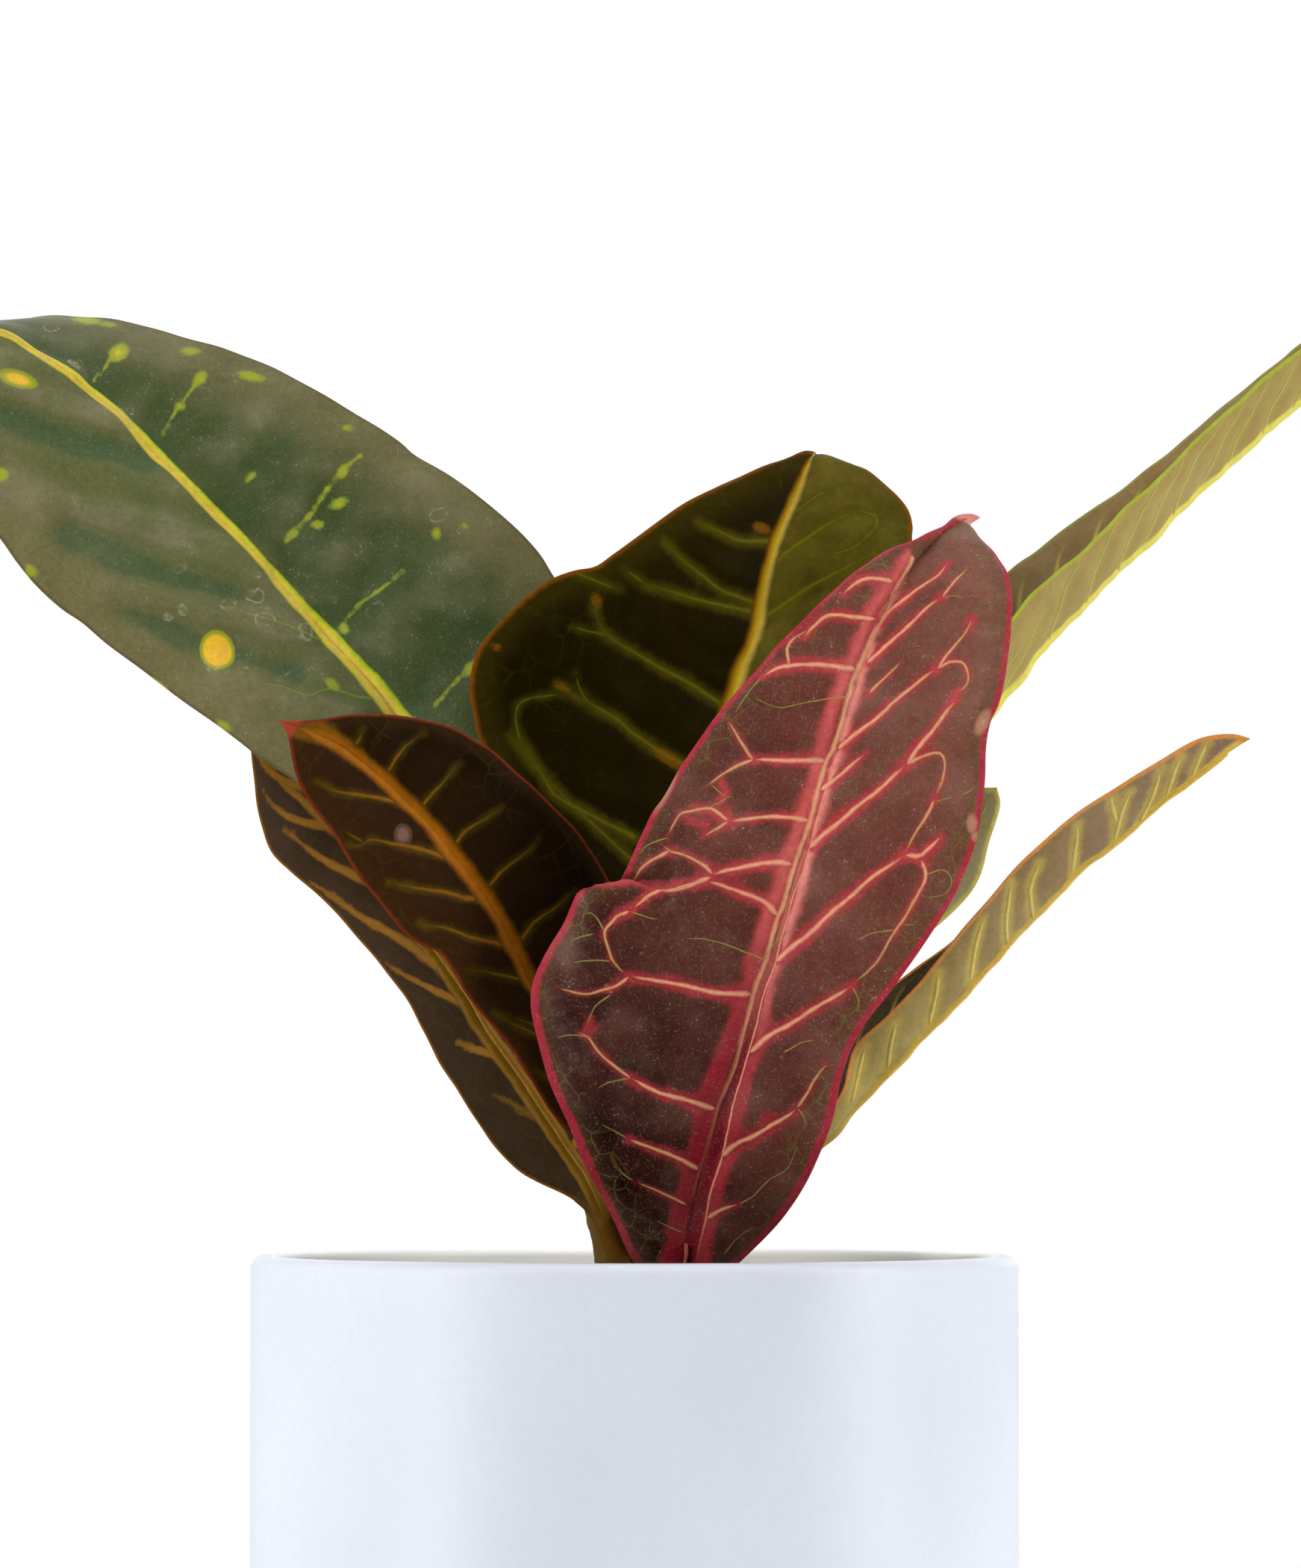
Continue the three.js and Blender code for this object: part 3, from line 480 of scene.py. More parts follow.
# Ridges above 0 and valleys below: height in mm, reach in view units, across and down
FOLDS = {
    "leaf_left_green": [
        (-1.0, 20, "0 551 50 575 100 592 150 600 190 615"),
        (-1.0, 22, "97 713 172 751 241 782 300 796"),
        (-0.8, 18, "166 810 214 837 262 865 330 885 400 905"),
        (0.9, 16, "0 489 50 492 100 506"),
        (0.8, 15, "0 520 100 544 148 565"),
        (1.0, 18, "21 654 100 685 200 706 300 741 348 765"),
        (1.0, 18, "150 792 250 803 300 817 400 844"),
        (0.8, 18, "300 900 370 925 430 950 470 960"),
        (-0.3, 20, "120 512 160 470 190 440"),
        (0.2, 22, "165 560 215 510 250 475"),
        (-0.3, 22, "212 590 255 530 300 485"),
        (0.3, 26, "262 650 320 590 370 530"),
        (-0.3, 22, "300 690 340 640 400 570 440 545"),
        (0.3, 26, "350 740 400 680 470 600 500 585"),
        (-0.3, 22, "385 730 440 655 500 600"),
        (0.3, 26, "405 800 460 740 530 660 570 640"),
        (-0.3, 22, "440 850 500 790 560 745 620 690"),
        (0.3, 28, "480 880 560 810 620 745 670 715"),
        (-0.3, 24, "540 960 600 910 660 860 710 800"),
    ],
    "leaf_back_olive": [
        (-0.3, 16, "1014 809 966 790 937 768 890 727"), (0.3, 22, "1000 760 960 745 930 735"),
        (-0.3, 18, "966 942 903 904 815 852"), (-0.3, 18, "911 1022 827 963 747 917"),
        (-0.3, 16, "1026 826 1059 803 1151 753"), (-0.25, 14, "1046 748 1097 710 1150 684"),
        (0.3, 20, "1050 770 1110 730 1160 715"),
    ],
    "leaf_front_red": [
        (-0.35, 12, "1107 1019 1009 1018"), (-0.35, 12, "1007 1332 842 1307"),
        (-0.35, 12, "1042 1226 945 1180"), (-0.35, 12, "1085 1136 1215 1024"),
        (-0.35, 12, "1039 1288 1213 1144"), (-0.35, 12, "1004 1410 1142 1320"),
        (-0.35, 12, "966 1550 1068 1483"), (-0.35, 12, "959 1485 844 1444"),
        (-0.35, 12, "1122 1003 1256 895"), (-0.3, 10, "1161 888 1262 800"),
        (0.5, 14, "1325 940 1322 1000 1318 1050"), (-0.5, 12, "1300 1180 1250 1240 1190 1325"),
        (0.5, 16, "745 1330 755 1400 780 1480"),
    ],
    "leaf_left_dark": [
        (-0.4, 12, "519 1035 568 982"), (-0.4, 12, "561 1088 618 1022"), (-0.4, 12, "606 1136 672 1081"),
        (-0.4, 12, "650 1192 722 1127"), (-0.4, 12, "700 1256 772 1192"), (-0.3, 10, "540 1077 450 1060"),
        (-0.3, 10, "590 1145 498 1125"), (-0.3, 10, "624 1203 550 1188"), (-0.3, 10, "668 1264 572 1240"),
    ],
}

# Veins by rule where nothing shows: kind, half, shares of the length from which they start
RULES = {
    "leaf_left_dark": [("twig", 1, (0.08, 0.16, 0.24)), ("branch", -1, (0.07, 0.15, 0.24))],
    "leaf_back_olive": [("soft", -1, (0.08, 0.16, 0.24)), ("soft", 1, (0.08, 0.17, 0.26, 0.35, 0.44))],
    "leaf_left_green": [("faint", half, (0.05, 0.11, 0.17)) for half in (-1, 1)],
    "leaf_low_left": [("bar", -1, (0.72, 0.79, 0.86)),
                      ("bar", 1, (0.12, 0.2, 0.28, 0.36, 0.44, 0.52, 0.6, 0.68, 0.76, 0.84))],
    "leaf_right_high": [("bar", half, np.arange(0.06, 0.92, 0.05)) for half in (-1, 1)],
    "leaf_right_low": [("bar", half, np.arange(0.08, 0.92, 0.07)) for half in (-1, 1)],
    "leaf_back_right": [("thin", -1, np.arange(0.1, 0.9, 0.1)), ("thin", 1, np.arange(0.1, 0.6, 0.1))],
}

# Half a blade's thickness at the middle and at the edge, and how far the edge stands out, in mm
BLADE_HALF = 0.24
EDGE_HALF = 0.1
RIM = 0.12
# Columns lie closer at the midrib, rows closer over the first share of the length
COLUMN_POWER = 1.15
BASE_SHARE = 0.06
BASE_ROWS = 12
# Normals and veins stop short of the tip, at this share of the length
TIP_SHARE = 0.985
# Share of the length over which the stalk runs out into the blade, and rings of the stalk
BULK_SHARE = 0.1
STALK_RINGS = 26
# Width in mm from which a blade bulges in full, and the scale of its puff
FULL_WIDTH = 25
PUFF_SCALE = 3.2
# View units between the points of a traced line
TRACE_STEP = 6
# Veins by rule: how far they run to the edge, and their lean along the leaf
RULED_REACH = 0.86
RULED_LEAN = 0.62
# Points along an edge for the distance to it, and the farthest distance that is kept, in mm
EDGE_POINTS = 160
EDGE_FAR = 40
# Faces that meet at more than this angle keep a sharp edge, in degrees
LEAF_SHARP = 62
# Where a field has nothing: mm from a line, and mm inside a halo or a spot
FAR = 99.0
NO_HALO = -6.0
NO_SPOT = -4.0
HALO_BLEND = 1.0
# Places across a side vein and across the midrib, and how deep both go into the blade, in mm
VEIN_STEPS = np.array([-1, -0.72, -0.36, 0, 0.36, 0.72, 1])
RIB_STEPS = np.linspace(-1, 1, 15)
RIB_ROWS = 196
VEIN_ROOT = 0.14
RIB_ROOT = 0.2
# A ridge has three more tracks inside the blade
ROOT_TRACKS = 3
# Side veins stand out this many times more on the lower side
UNDER_VEINS = 1.6
# The red leaf's crease, from its notch to its end
CREASE = np.array([[815.0, 1192.0], [948.0, 1176.0]])


def place_object(name, data):
    obj = bpy.data.objects.new(name, data)
    bpy.context.scene.collection.objects.link(obj)
    return obj


def make_mesh(name, points, faces, materials, material_of=None):
    mesh = bpy.data.meshes.new(name)
    mesh.from_pydata((np.asarray(points) * MM).tolist(), [], faces)
    for m in materials:
        mesh.materials.append(m)
    if material_of is not None:
        mesh.polygons.foreach_set("material_index", np.asarray(material_of, np.int32))
    mesh.update()
    mesh.shade_smooth()
    return place_object(name, mesh)


def set_values(mesh, name, values):
    attribute = mesh.attributes.new(name, "FLOAT", "POINT")
    attribute.data.foreach_set("value", np.asarray(values, np.float32))


def circle(sides):
    return np.linspace(0, 2 * math.pi, sides, endpoint=False)


def ring_quads(count, size):
    """Point numbers of a row of rings, the same turned by one, and the quads between the rings."""
    index = np.arange(count * size).reshape(count, size)
    turned = np.roll(index, -1, axis=1)
    quads = np.stack([index[:-1], turned[:-1], turned[1:], index[1:]], -1).reshape(-1, 4)
    return index, turned, quads


def tube(rings, first, last):
    """Points and faces of a row of rings that ends in a fan round a point at both ends."""
    count, size = rings.shape[:2]
    index, turned, quads = ring_quads(count, size)
    centre = np.full(size, count * size)
    fans = np.stack([turned[0], index[0], centre, index[-1], turned[-1], centre + 1], 1).reshape(-1, 3)
    return np.vstack([rings.reshape(-1, 3), first, last]), quads.tolist() + fans.tolist()


class Blade:
    """A leaf blade as a grid over its length and its two halves."""

    def __init__(self, name, rows, columns):
        spec = LEAVES[name]
        self.name, self.spec = name, spec
        start, swing = spec["turn"]

        def place(p):
            return seen(p[0], p[1], p[2] + swing * (p[0] - start) / 100)

        midrib = groups(spec["midrib"], 3)
        left, right = (midrib[:1] + groups(spec[side], 3) + midrib[-1:] for side in ("left", "right"))
        self.midrib, self.left, self.right = (Curve([place(p) for p in line])
                                              for line in (midrib, left, right))
        self.t = np.unique(np.concatenate([np.linspace(0, 1, rows),
                                           np.linspace(0, BASE_SHARE, BASE_ROWS)]))
        u = np.linspace(-1, 1, columns)
        self.s = np.sign(u) * np.abs(u) ** COLUMN_POWER
        t, s = self.t, self.s
        mid, left, right = self.midrib.at(t), self.left.at(t), self.right.at(t)
        along = self.midrib.way(t)
        near = np.clip(t, 0.04, 0.96)
        span = self.right.at(near) - self.left.at(near)
        self.across = unit(span - along * (span * along).sum(-1, keepdims=True))
        self.up = np.cross(self.across, along)
        self.width = np.linalg.norm(right - left, axis=-1)
        self.bulk = np.clip(1 - t / BULK_SHARE, 0, 1) ** 2
        a = np.abs(s)[None, :, None]
        edge = np.where(s[None, :, None] < 0, left[:, None], right[:, None])
        lift = spec["puff"] * np.minimum(1, self.width / FULL_WIDTH) * PUFF_SCALE
        self.points = (lerp(mid[:, None], edge, a)
                       + self.up[:, None] * lift[:, None, None] * a * (1 - a)
                       + self.across[:, None] * (spec["stalk_radius"] * self.bulk)[:, None, None]
                       * s[None, :, None])
        self.flat = self.points.reshape(-1, 3)
        self.normals = self.find_normals(self.points)
        self.trees = {}

    def find_normals(self, points):
        ds = np.gradient(points, axis=1)
        dt = np.gradient(points, axis=0)
        n = np.cross(ds, dt)
        size = np.linalg.norm(n, axis=-1, keepdims=True)
        n = np.where(size > 1e-6, n / (size + 1e-12), self.up[:, None])
        last = np.searchsorted(self.t, TIP_SHARE)
        n[last:] = n[last]
        return n

    def tree_of(self, half):
        """A search tree over the left half at -1, the right half at 1, or both at 0."""
        if half not in self.trees:
            index = np.arange(len(self.flat)).reshape(len(self.t), len(self.s))
            quads = np.stack([index[:-1, :-1], index[:-1, 1:], index[1:, 1:], index[1:, :-1]], -1)
            mid = len(self.s) // 2
            quads = quads[:, mid if half > 0 else 0:mid if half < 0 else None].reshape(-1, 4)
            self.trees[half] = BVHTree.FromPolygons(self.flat.tolist(), quads.tolist()), quads
        return self.trees[half]

    def find(self, across, down, half=0):
        """Where the view's ray meets the blade, as shares of length and half width."""
        tree, quads = self.tree_of(half)
        hit, _, face, _ = tree.ray_cast(Vector(EYE), Vector(view_ray(across, down)))
        if hit is None:
            return None
        corner = quads[face]
        i, j = divmod(int(corner[0]), len(self.s))
        p = np.array(hit)
        a, b, c, d = (self.flat[k] for k in corner)
        x = y = 0.5
        for _ in range(3):
            here = a * (1 - x) * (1 - y) + b * x * (1 - y) + c * x * y + d * (1 - x) * y
            dx = (b - a) * (1 - y) + (c - d) * y
            dy = (d - a) * (1 - x) + (c - b) * x
            step = np.linalg.lstsq(np.stack([dx, dy], 1), p - here, rcond=None)[0]
            x, y = x + step[0], y + step[1]
        x, y = np.clip([x, y], -0.2, 1.2)
        return (lerp(self.t[i], self.t[i + 1], y), lerp(self.s[j], self.s[j + 1], x))

    def trace(self, text, half=0):
        """A line given in the view, as points of length and half-width shares."""
        points = np.array(groups(text, 2))
        if len(points) > 2:
            line = smooth_line(np.column_stack([points, np.zeros(len(points))]), 12)[:, :2]
        else:
            line = np.linspace(points[0], points[1], 12)
        gone = np.concatenate([[0], np.cumsum(np.linalg.norm(np.diff(line, axis=0), axis=1))])
        marks = np.linspace(0, gone[-1], max(3, int(gone[-1] / TRACE_STEP)))
        line = np.stack([np.interp(marks, gone, line[:, k]) for k in range(2)], 1)
        start = points[0].sum()
        line[:, 0] += 0.6 * np.sin(marks * 0.09 + start) + 0.2 * np.sin(marks * 0.3 + start * 2)
        line[:, 1] += 0.6 * np.cos(marks * 0.08 + start) + 0.2 * np.sin(marks * 0.27 + start * 3)
        found = [self.find(x, y, half) for x, y in line]
        return np.array([f for f in found if f is not None])

    def ruled(self, half, start):
        """A side vein that leaves the midrib at a share of the length."""
        wide = np.interp(start, self.t, self.width) / 2 / self.midrib.length
        u = np.linspace(0, 1, 22)
        t = start + RULED_LEAN * wide * (u ** 1.25) + 0.35 * wide * u ** 4
        return np.stack([np.clip(t, 0, TIP_SHARE), half * RULED_REACH * u], 1)

    def read(self, grid, ts):
        """The values of a grid at shares of length and half width."""
        row = np.interp(ts[:, 0], self.t, np.arange(len(self.t)))
        column = np.interp(ts[:, 1], self.s, np.arange(len(self.s)))
        i = np.clip(row.astype(int), 0, len(self.t) - 2)
        j = np.clip(column.astype(int), 0, len(self.s) - 2)
        y, x = row - i, column - j
        if grid.ndim == 3:
            y, x = y[:, None], x[:, None]
        return (grid[i, j] * (1 - x) * (1 - y) + grid[i, j + 1] * x * (1 - y)
                + grid[i + 1, j + 1] * x * y + grid[i + 1, j] * (1 - x) * y)

    def nearest(self, line):
        """Distance of each point to a line on the blade, and the line's share nearest to it."""
        return nearest(self.flat, self.read(self.points, line))


def nearest(points, line):
    """Distance of each point to a line, and the share of the line where it is nearest."""
    distance, share = np.full(len(points), FAR), np.zeros(len(points))
    reach = 12
    close = np.flatnonzero(((points > line.min(0) - reach) & (points < line.max(0) + reach)).all(1))
    p = points[close]
    for k in range(len(line) - 1):
        start, step = line[k], line[k + 1] - line[k]
        u = np.clip(((p - start) @ step) / (step @ step + 1e-9), 0, 1)
        gap = np.linalg.norm(p - start - u[:, None] * step, axis=1)
        better = gap < distance[close]
        distance[close[better]] = gap[better]
        share[close[better]] = (k + u[better]) / (len(line) - 1)
    return distance, share


def from_midrib(line):
    """Keeps a side vein to its own half and starts it on the midrib."""
    half = 1 if line[:, 1].sum() > 0 else -1
    line = line[line[:, 1] * half > 0.02]
    if len(line) < 4 or abs(line[0, 1]) > 0.3:
        return line
    slope = (line[3, 0] - line[0, 0]) / (line[3, 1] - line[0, 1])
    start = [line[0, 0] - np.clip(slope * line[0, 1], -0.03, 0.03), 0.0]
    return np.vstack([np.linspace(start, line[0], 4)[:3], line])


def vein_lines(blade, half_seen):
    """Veins of the upper and of the lower side: those that show, then those by rule."""
    def traced(table, half=0):
        found = [(kind, blade.trace(text, half)) for kind, text in table.get(blade.name, ())]
        if blade.name in RIBS:
            found = [(kind, from_midrib(line) if kind in SIDE_VEINS else line) for kind, line in found]
        return [(kind, line) for kind, line in found if len(line) > 2]

    upper, lower = traced(MARKS), traced(UNDER_MARKS, half_seen)
    for kind, half, starts in RULES.get(blade.name, ()):
        for start in starts:
            line = blade.ruled(half, start)
            upper.append((kind, line))
            if half_seen and half != half_seen:
                lower.append(("keel line", line))
    if not half_seen:
        lower = [(kind, line) for kind, line in upper if kind in SIDE_VEINS]
    return {1: upper, -1: lower}


def vein_fields(blade, lines):
    """How far a point lies inside a vein's halo, the halo's tint, and the way to a side vein."""
    count = len(blade.flat)
    halo, tone, gap = np.full(count, NO_HALO), np.zeros(count), np.full(count, FAR)
    for kind, line in lines:
        _, reach, _, glow = KINDS[kind]
        distance, share = blade.nearest(line)
        if reach[0] > 0:
            inside = lerp(reach[0], reach[1], share) / VIEW_UNITS_PER_MM - distance
            tone = lerp(tone, glow, np.clip(0.5 + 2 * (inside - halo), 0, 1))
            blend = np.clip(0.5 + (inside - halo) / (2 * HALO_BLEND), 0, 1)
            halo = lerp(halo, inside, blend) + HALO_BLEND * blend * (1 - blend)
        if kind in SIDE_VEINS or kind.startswith("keel"):
            gap = np.minimum(gap, distance)
    return halo, tone, gap


def spot_field(blade):
    """How far a point lies inside the oval spots and the dotted streaks of the view."""
    inside = np.full(len(blade.flat), NO_SPOT)
    view = on_view(blade.flat)
    for x, y, half_width, half_height, lean in SPOTS.get(blade.name, ()):
        c, s = math.cos(math.radians(lean)), math.sin(math.radians(lean))
        off = view - [x, y]
        q = np.stack([(off[:, 0] * c - off[:, 1] * s) / half_width,
                      (off[:, 0] * s + off[:, 1] * c) / half_height], 1)
        size = min(half_width, half_height)
        size *= (1.7 if size > 10 else 0.9) / VIEW_UNITS_PER_MM
        inside = np.maximum(inside, (1 - np.linalg.norm(q, axis=1)) * size)
    for reach, text in STREAKS.get(blade.name, ()):
        distance, share = blade.nearest(blade.trace(text))
        turns = share * len(text)
        dots = 0.62 + 0.25 * np.sin(turns * 0.55) + 0.25 * np.sin(turns * 1.3 + reach)
        inside = np.maximum(inside, reach * dots / VIEW_UNITS_PER_MM - distance)
    return inside


def relief_field(blade, gap, rim, quilt):
    """The blade sinks at its side veins, swells between them and has folds of its own."""
    flat = blade.flat
    relief = quilt * (1 - np.exp(-(gap / 3.0) ** 2)) * ease(0.3, 4, rim)
    for height, reach, text in FOLDS.get(blade.name, ()):
        distance = blade.nearest(blade.trace(text))[0]
        width = reach * 1.2 / VIEW_UNITS_PER_MM
        relief += height * np.exp(-(distance / width) ** 2) * ease(0.2, 3, rim)
    relief += 0.16 * np.sin(flat @ [0.35, 0.2, 0.31]) * np.sin(flat @ [-0.22, 0.3, 0.41] + 1)
    if blade.name == "leaf_front_red":
        relief += front_fold(flat)
    keep = (1 - blade.bulk) * ease(1, 0.94, blade.t)
    return relief * np.repeat(keep, len(blade.s))


def front_fold(flat):
    """The red leaf's lower left lobe bulges out under the crease that runs in from its notch."""
    way = CREASE[1] - CREASE[0]
    off = on_view(flat) - CREASE[0]
    share = (off @ way) / (way @ way)
    below = (off @ [-way[1], way[0]]) / np.linalg.norm(way)
    bulge = 2.3 * np.exp(-(below / 95) ** 2) * ease(-2, 4, below)
    dip = -1.1 * np.exp(-(below / 45) ** 2) * ease(2, -3, below)
    return ease(1.05, 0.1, share) * ease(-0.8, -0.1, share) * (bulge + dip)


def raised(blade, skin, normals, side, tracks, heights, depth):
    """A closed low ridge on the skin, over tracks that lie side by side."""
    low = [tracks[-2], tracks[len(tracks) // 2], tracks[1]]
    tracks, heights = [*tracks, *low], [*heights, *[np.full(len(heights[0]), -depth)] * ROOT_TRACKS]
    points = np.stack([blade.read(skin, ts) + side * unit(blade.read(normals, ts)) * tall[:, None]
                       for ts, tall in zip(tracks, heights)], 1)
    index, _, quads = ring_quads(*points.shape[:2])
    a, b, c, d = np.moveaxis(points.reshape(-1, 3)[quads] - points.mean((0, 1)), 1, 0)
    volume = (a * np.cross(b, c)).sum() + (a * np.cross(c, d)).sum()
    faces = [*quads.tolist(), index[0][::-1].tolist(), index[-1].tolist()]
    if volume < 0:
        faces = [face[::-1] for face in faces]
    return points.reshape(-1, 3), faces, np.stack(tracks, 1).reshape(-1, 2)


def side_vein(blade, line, kind, height, side, skin, normals):
    """A raised vein along a line, with its share across and its tint at each point."""
    widths, _, tints, _ = KINDS[kind]
    broad = widths[0] > 8 and kind not in ("main", "pale")
    base = blade.read(skin, line)
    keep = np.concatenate([[True], np.linalg.norm(np.diff(base, axis=0), axis=1) > 0.05])
    line, base = line[keep], base[keep]
    if len(line) < 3:
        return None
    up = unit(blade.read(normals, line)) * side
    beside = unit(np.cross(up, unit(np.gradient(base, axis=0))))

    # How the skin runs along the length and across it, to turn millimetres into shares
    slopes = []
    for step in ([0.004, 0], [0, 0.02]):
        ends = [blade.read(skin, np.clip(line + k * np.array(step), [0, -1], [1, 1])) for k in (1, -1)]
        slopes.append((ends[0] - ends[1]) / (2 * max(step)))
    dt, ds = slopes
    tt, ss, ts = (dt * dt).sum(1), (ds * ds).sum(1), (dt * ds).sum(1)
    det = tt * ss - ts * ts + 1e-9

    u = np.linspace(0, 1, len(line))
    gone = u * len(line) * TRACE_STEP
    uneven = 1 + 0.1 * np.sin(gone * 0.17 + line[0, 1] * 40) + 0.06 * np.sin(gone * 0.43 + 1)
    flare = 1 + (0.7 if broad else 0.15) * np.exp(-gone / 14)
    taper = np.clip(np.minimum(u * 2 + 0.015, 1 - u) * len(line) / 2.5, 0.1, 1)
    half = lerp(widths[0], widths[1], u) / 2 / VIEW_UNITS_PER_MM * taper * uneven * flare
    tall = height * np.minimum(1, half / 0.25) * taper
    low = [0, 0 if line[:, 1].min() >= 0 else -1]
    high = [1, 0 if line[:, 1].max() <= 0 else 1]
    tracks, heights = [], []
    for k in VEIN_STEPS:
        off = beside * (half * k)[:, None]
        rt, rs = (off * dt).sum(1), (off * ds).sum(1)
        shift = np.stack([(ss * rt - ts * rs) / det, (tt * rs - ts * rt) / det], 1)
        reached = np.linalg.norm(blade.read(skin, np.clip(line + shift, low, high)) - base, axis=1)
        shift *= np.minimum(1, 1.25 * abs(k) * half / (reached + 1e-6))[:, None]
        tracks.append(np.clip(line + shift, low, high))
        heights.append(tall * (1 - abs(k) ** 1.8) ** 1.4 - 0.02)
    made = raised(blade, skin, normals, side, tracks, heights, VEIN_ROOT)
    size = len(VEIN_STEPS) + ROOT_TRACKS
    core = np.tile([*(1 - np.abs(VEIN_STEPS)), *[0] * ROOT_TRACKS], len(line))
    core = core * np.repeat(lerp(0.25, 1, ease(1, 0.55 if broad else 0.85, u)), size)
    return made, {"core": core, "tint": np.repeat(lerp(tints[0], tints[1], u), size)}


def midrib_strip(blade, height, skin, normals):
    """The raised midrib of the upper side, with its share across at each point."""
    if blade.name in RIBS:
        found = sorted((blade.find(x, y)[0], width / VIEW_UNITS_PER_MM)
                       for x, y, width in groups(RIBS[blade.name], 3))
        starts, widths = zip(*found)
    else:
        starts, widths = (0, 1), [1.7 * w for w in blade.spec["rib"]]
    rows = np.linspace(0.004, TIP_SHARE, RIB_ROWS)
    half = np.interp(rows, starts, widths) / 2 * ease(0.99, 0.9, rows)
    half = half * (1 + 0.04 * np.sin(rows * 90) + 0.03 * np.sin(rows * 210 + 1))
    middle, way = blade.midrib.at(rows), blade.midrib.way(rows)
    reach = {}
    for side, curve in ((-1, blade.left), (1, blade.right)):
        away = curve.at(rows) - middle
        away = away - way * (away * way).sum(1, keepdims=True)
        reach[side] = np.maximum(np.linalg.norm(away, axis=1), 1.5 * half)
    if blade.name in RIBS:
        # Widened or narrowed until it shows as wide as in the view
        ends = [on_view(blade.read(blade.points, np.stack([rows, k * half / reach[k]], 1)))
                for k in (-1, 1)]
        way = unit(np.gradient(on_view(middle), axis=0))
        span = ends[1] - ends[0]
        shown = np.abs(span[:, 0] * way[:, 1] - span[:, 1] * way[:, 0])
        half = half * np.clip(2 * half * VIEW_UNITS_PER_MM / (shown + 0.1), 0.7, 2)
    tracks = [np.stack([rows, np.clip(k * half / reach[-1 if k < 0 else 1], -0.9, 0.9)], 1)
              for k in RIB_STEPS]
    tall = height * np.minimum(1, half / 0.8) * ease(0.0, 0.06, rows)
    heights = [tall * (1 - k * k) ** 0.7 - 0.03 for k in RIB_STEPS]
    made = raised(blade, skin, normals, 1, tracks, heights, RIB_ROOT)
    return made, {"rib": np.tile([*(1 - np.abs(RIB_STEPS)), *[0] * ROOT_TRACKS], len(rows)),
                  "across": np.tile([*RIB_STEPS, 1, 0, -1], len(rows))}


def blade_skins(blade, surface, normals):
    """The upper and the lower skin, with the stalk run out into them and the rib below."""
    s = blade.s[None, :, None]
    grown = blade.bulk[:, None, None]
    thin = BLADE_HALF + (EDGE_HALF - BLADE_HALF) * ease(0.86, 1, np.abs(s))
    half = (thin * (1 - grown) + EDGE_HALF * grown
            + blade.spec["stalk_radius"] * grown * np.sqrt(np.clip(1 - s * s, 0, 1)))
    keel = np.linalg.norm(surface - surface[:, len(blade.s) // 2][:, None], axis=-1)
    rib_width = lerp(*blade.spec["rib"], blade.t)[:, None]
    rib = rib_width * 0.8 * np.exp(-(keel / (rib_width * 0.8)) ** 2)
    rib = (rib * ease(1, 0.97, blade.t)[:, None])[..., None] * (1 - grown)
    return surface + normals * half, surface - normals * (half + rib), keel


def stalk_rings(blade):
    """Round rings of the stalk, with their points laid out as those round the blade."""
    spec = blade.spec
    stalk = Curve([seen(*p) for p in spec["stalk"]] + [blade.midrib.at(np.array([0.0]))[0]])
    angles = np.arccos(np.clip(blade.s, -1, 1))
    angles = np.concatenate([angles, [0.0], -angles[::-1], [math.pi]])
    rings = []
    for k in range(STALK_RINGS):
        u = np.array([k / STALK_RINGS])
        way = stalk.way(u)[0]
        across = unit(blade.across[0] - way * (blade.across[0] @ way))
        radius = spec["stalk_radius"] * (1.22 - 0.22 * ease(0, 0.35, u[0])) + EDGE_HALF
        ring = across * np.cos(angles)[:, None] + np.cross(across, way) * np.sin(angles)[:, None]
        rings.append(stalk.at(u)[0] + radius * ring)
    return np.array(rings)


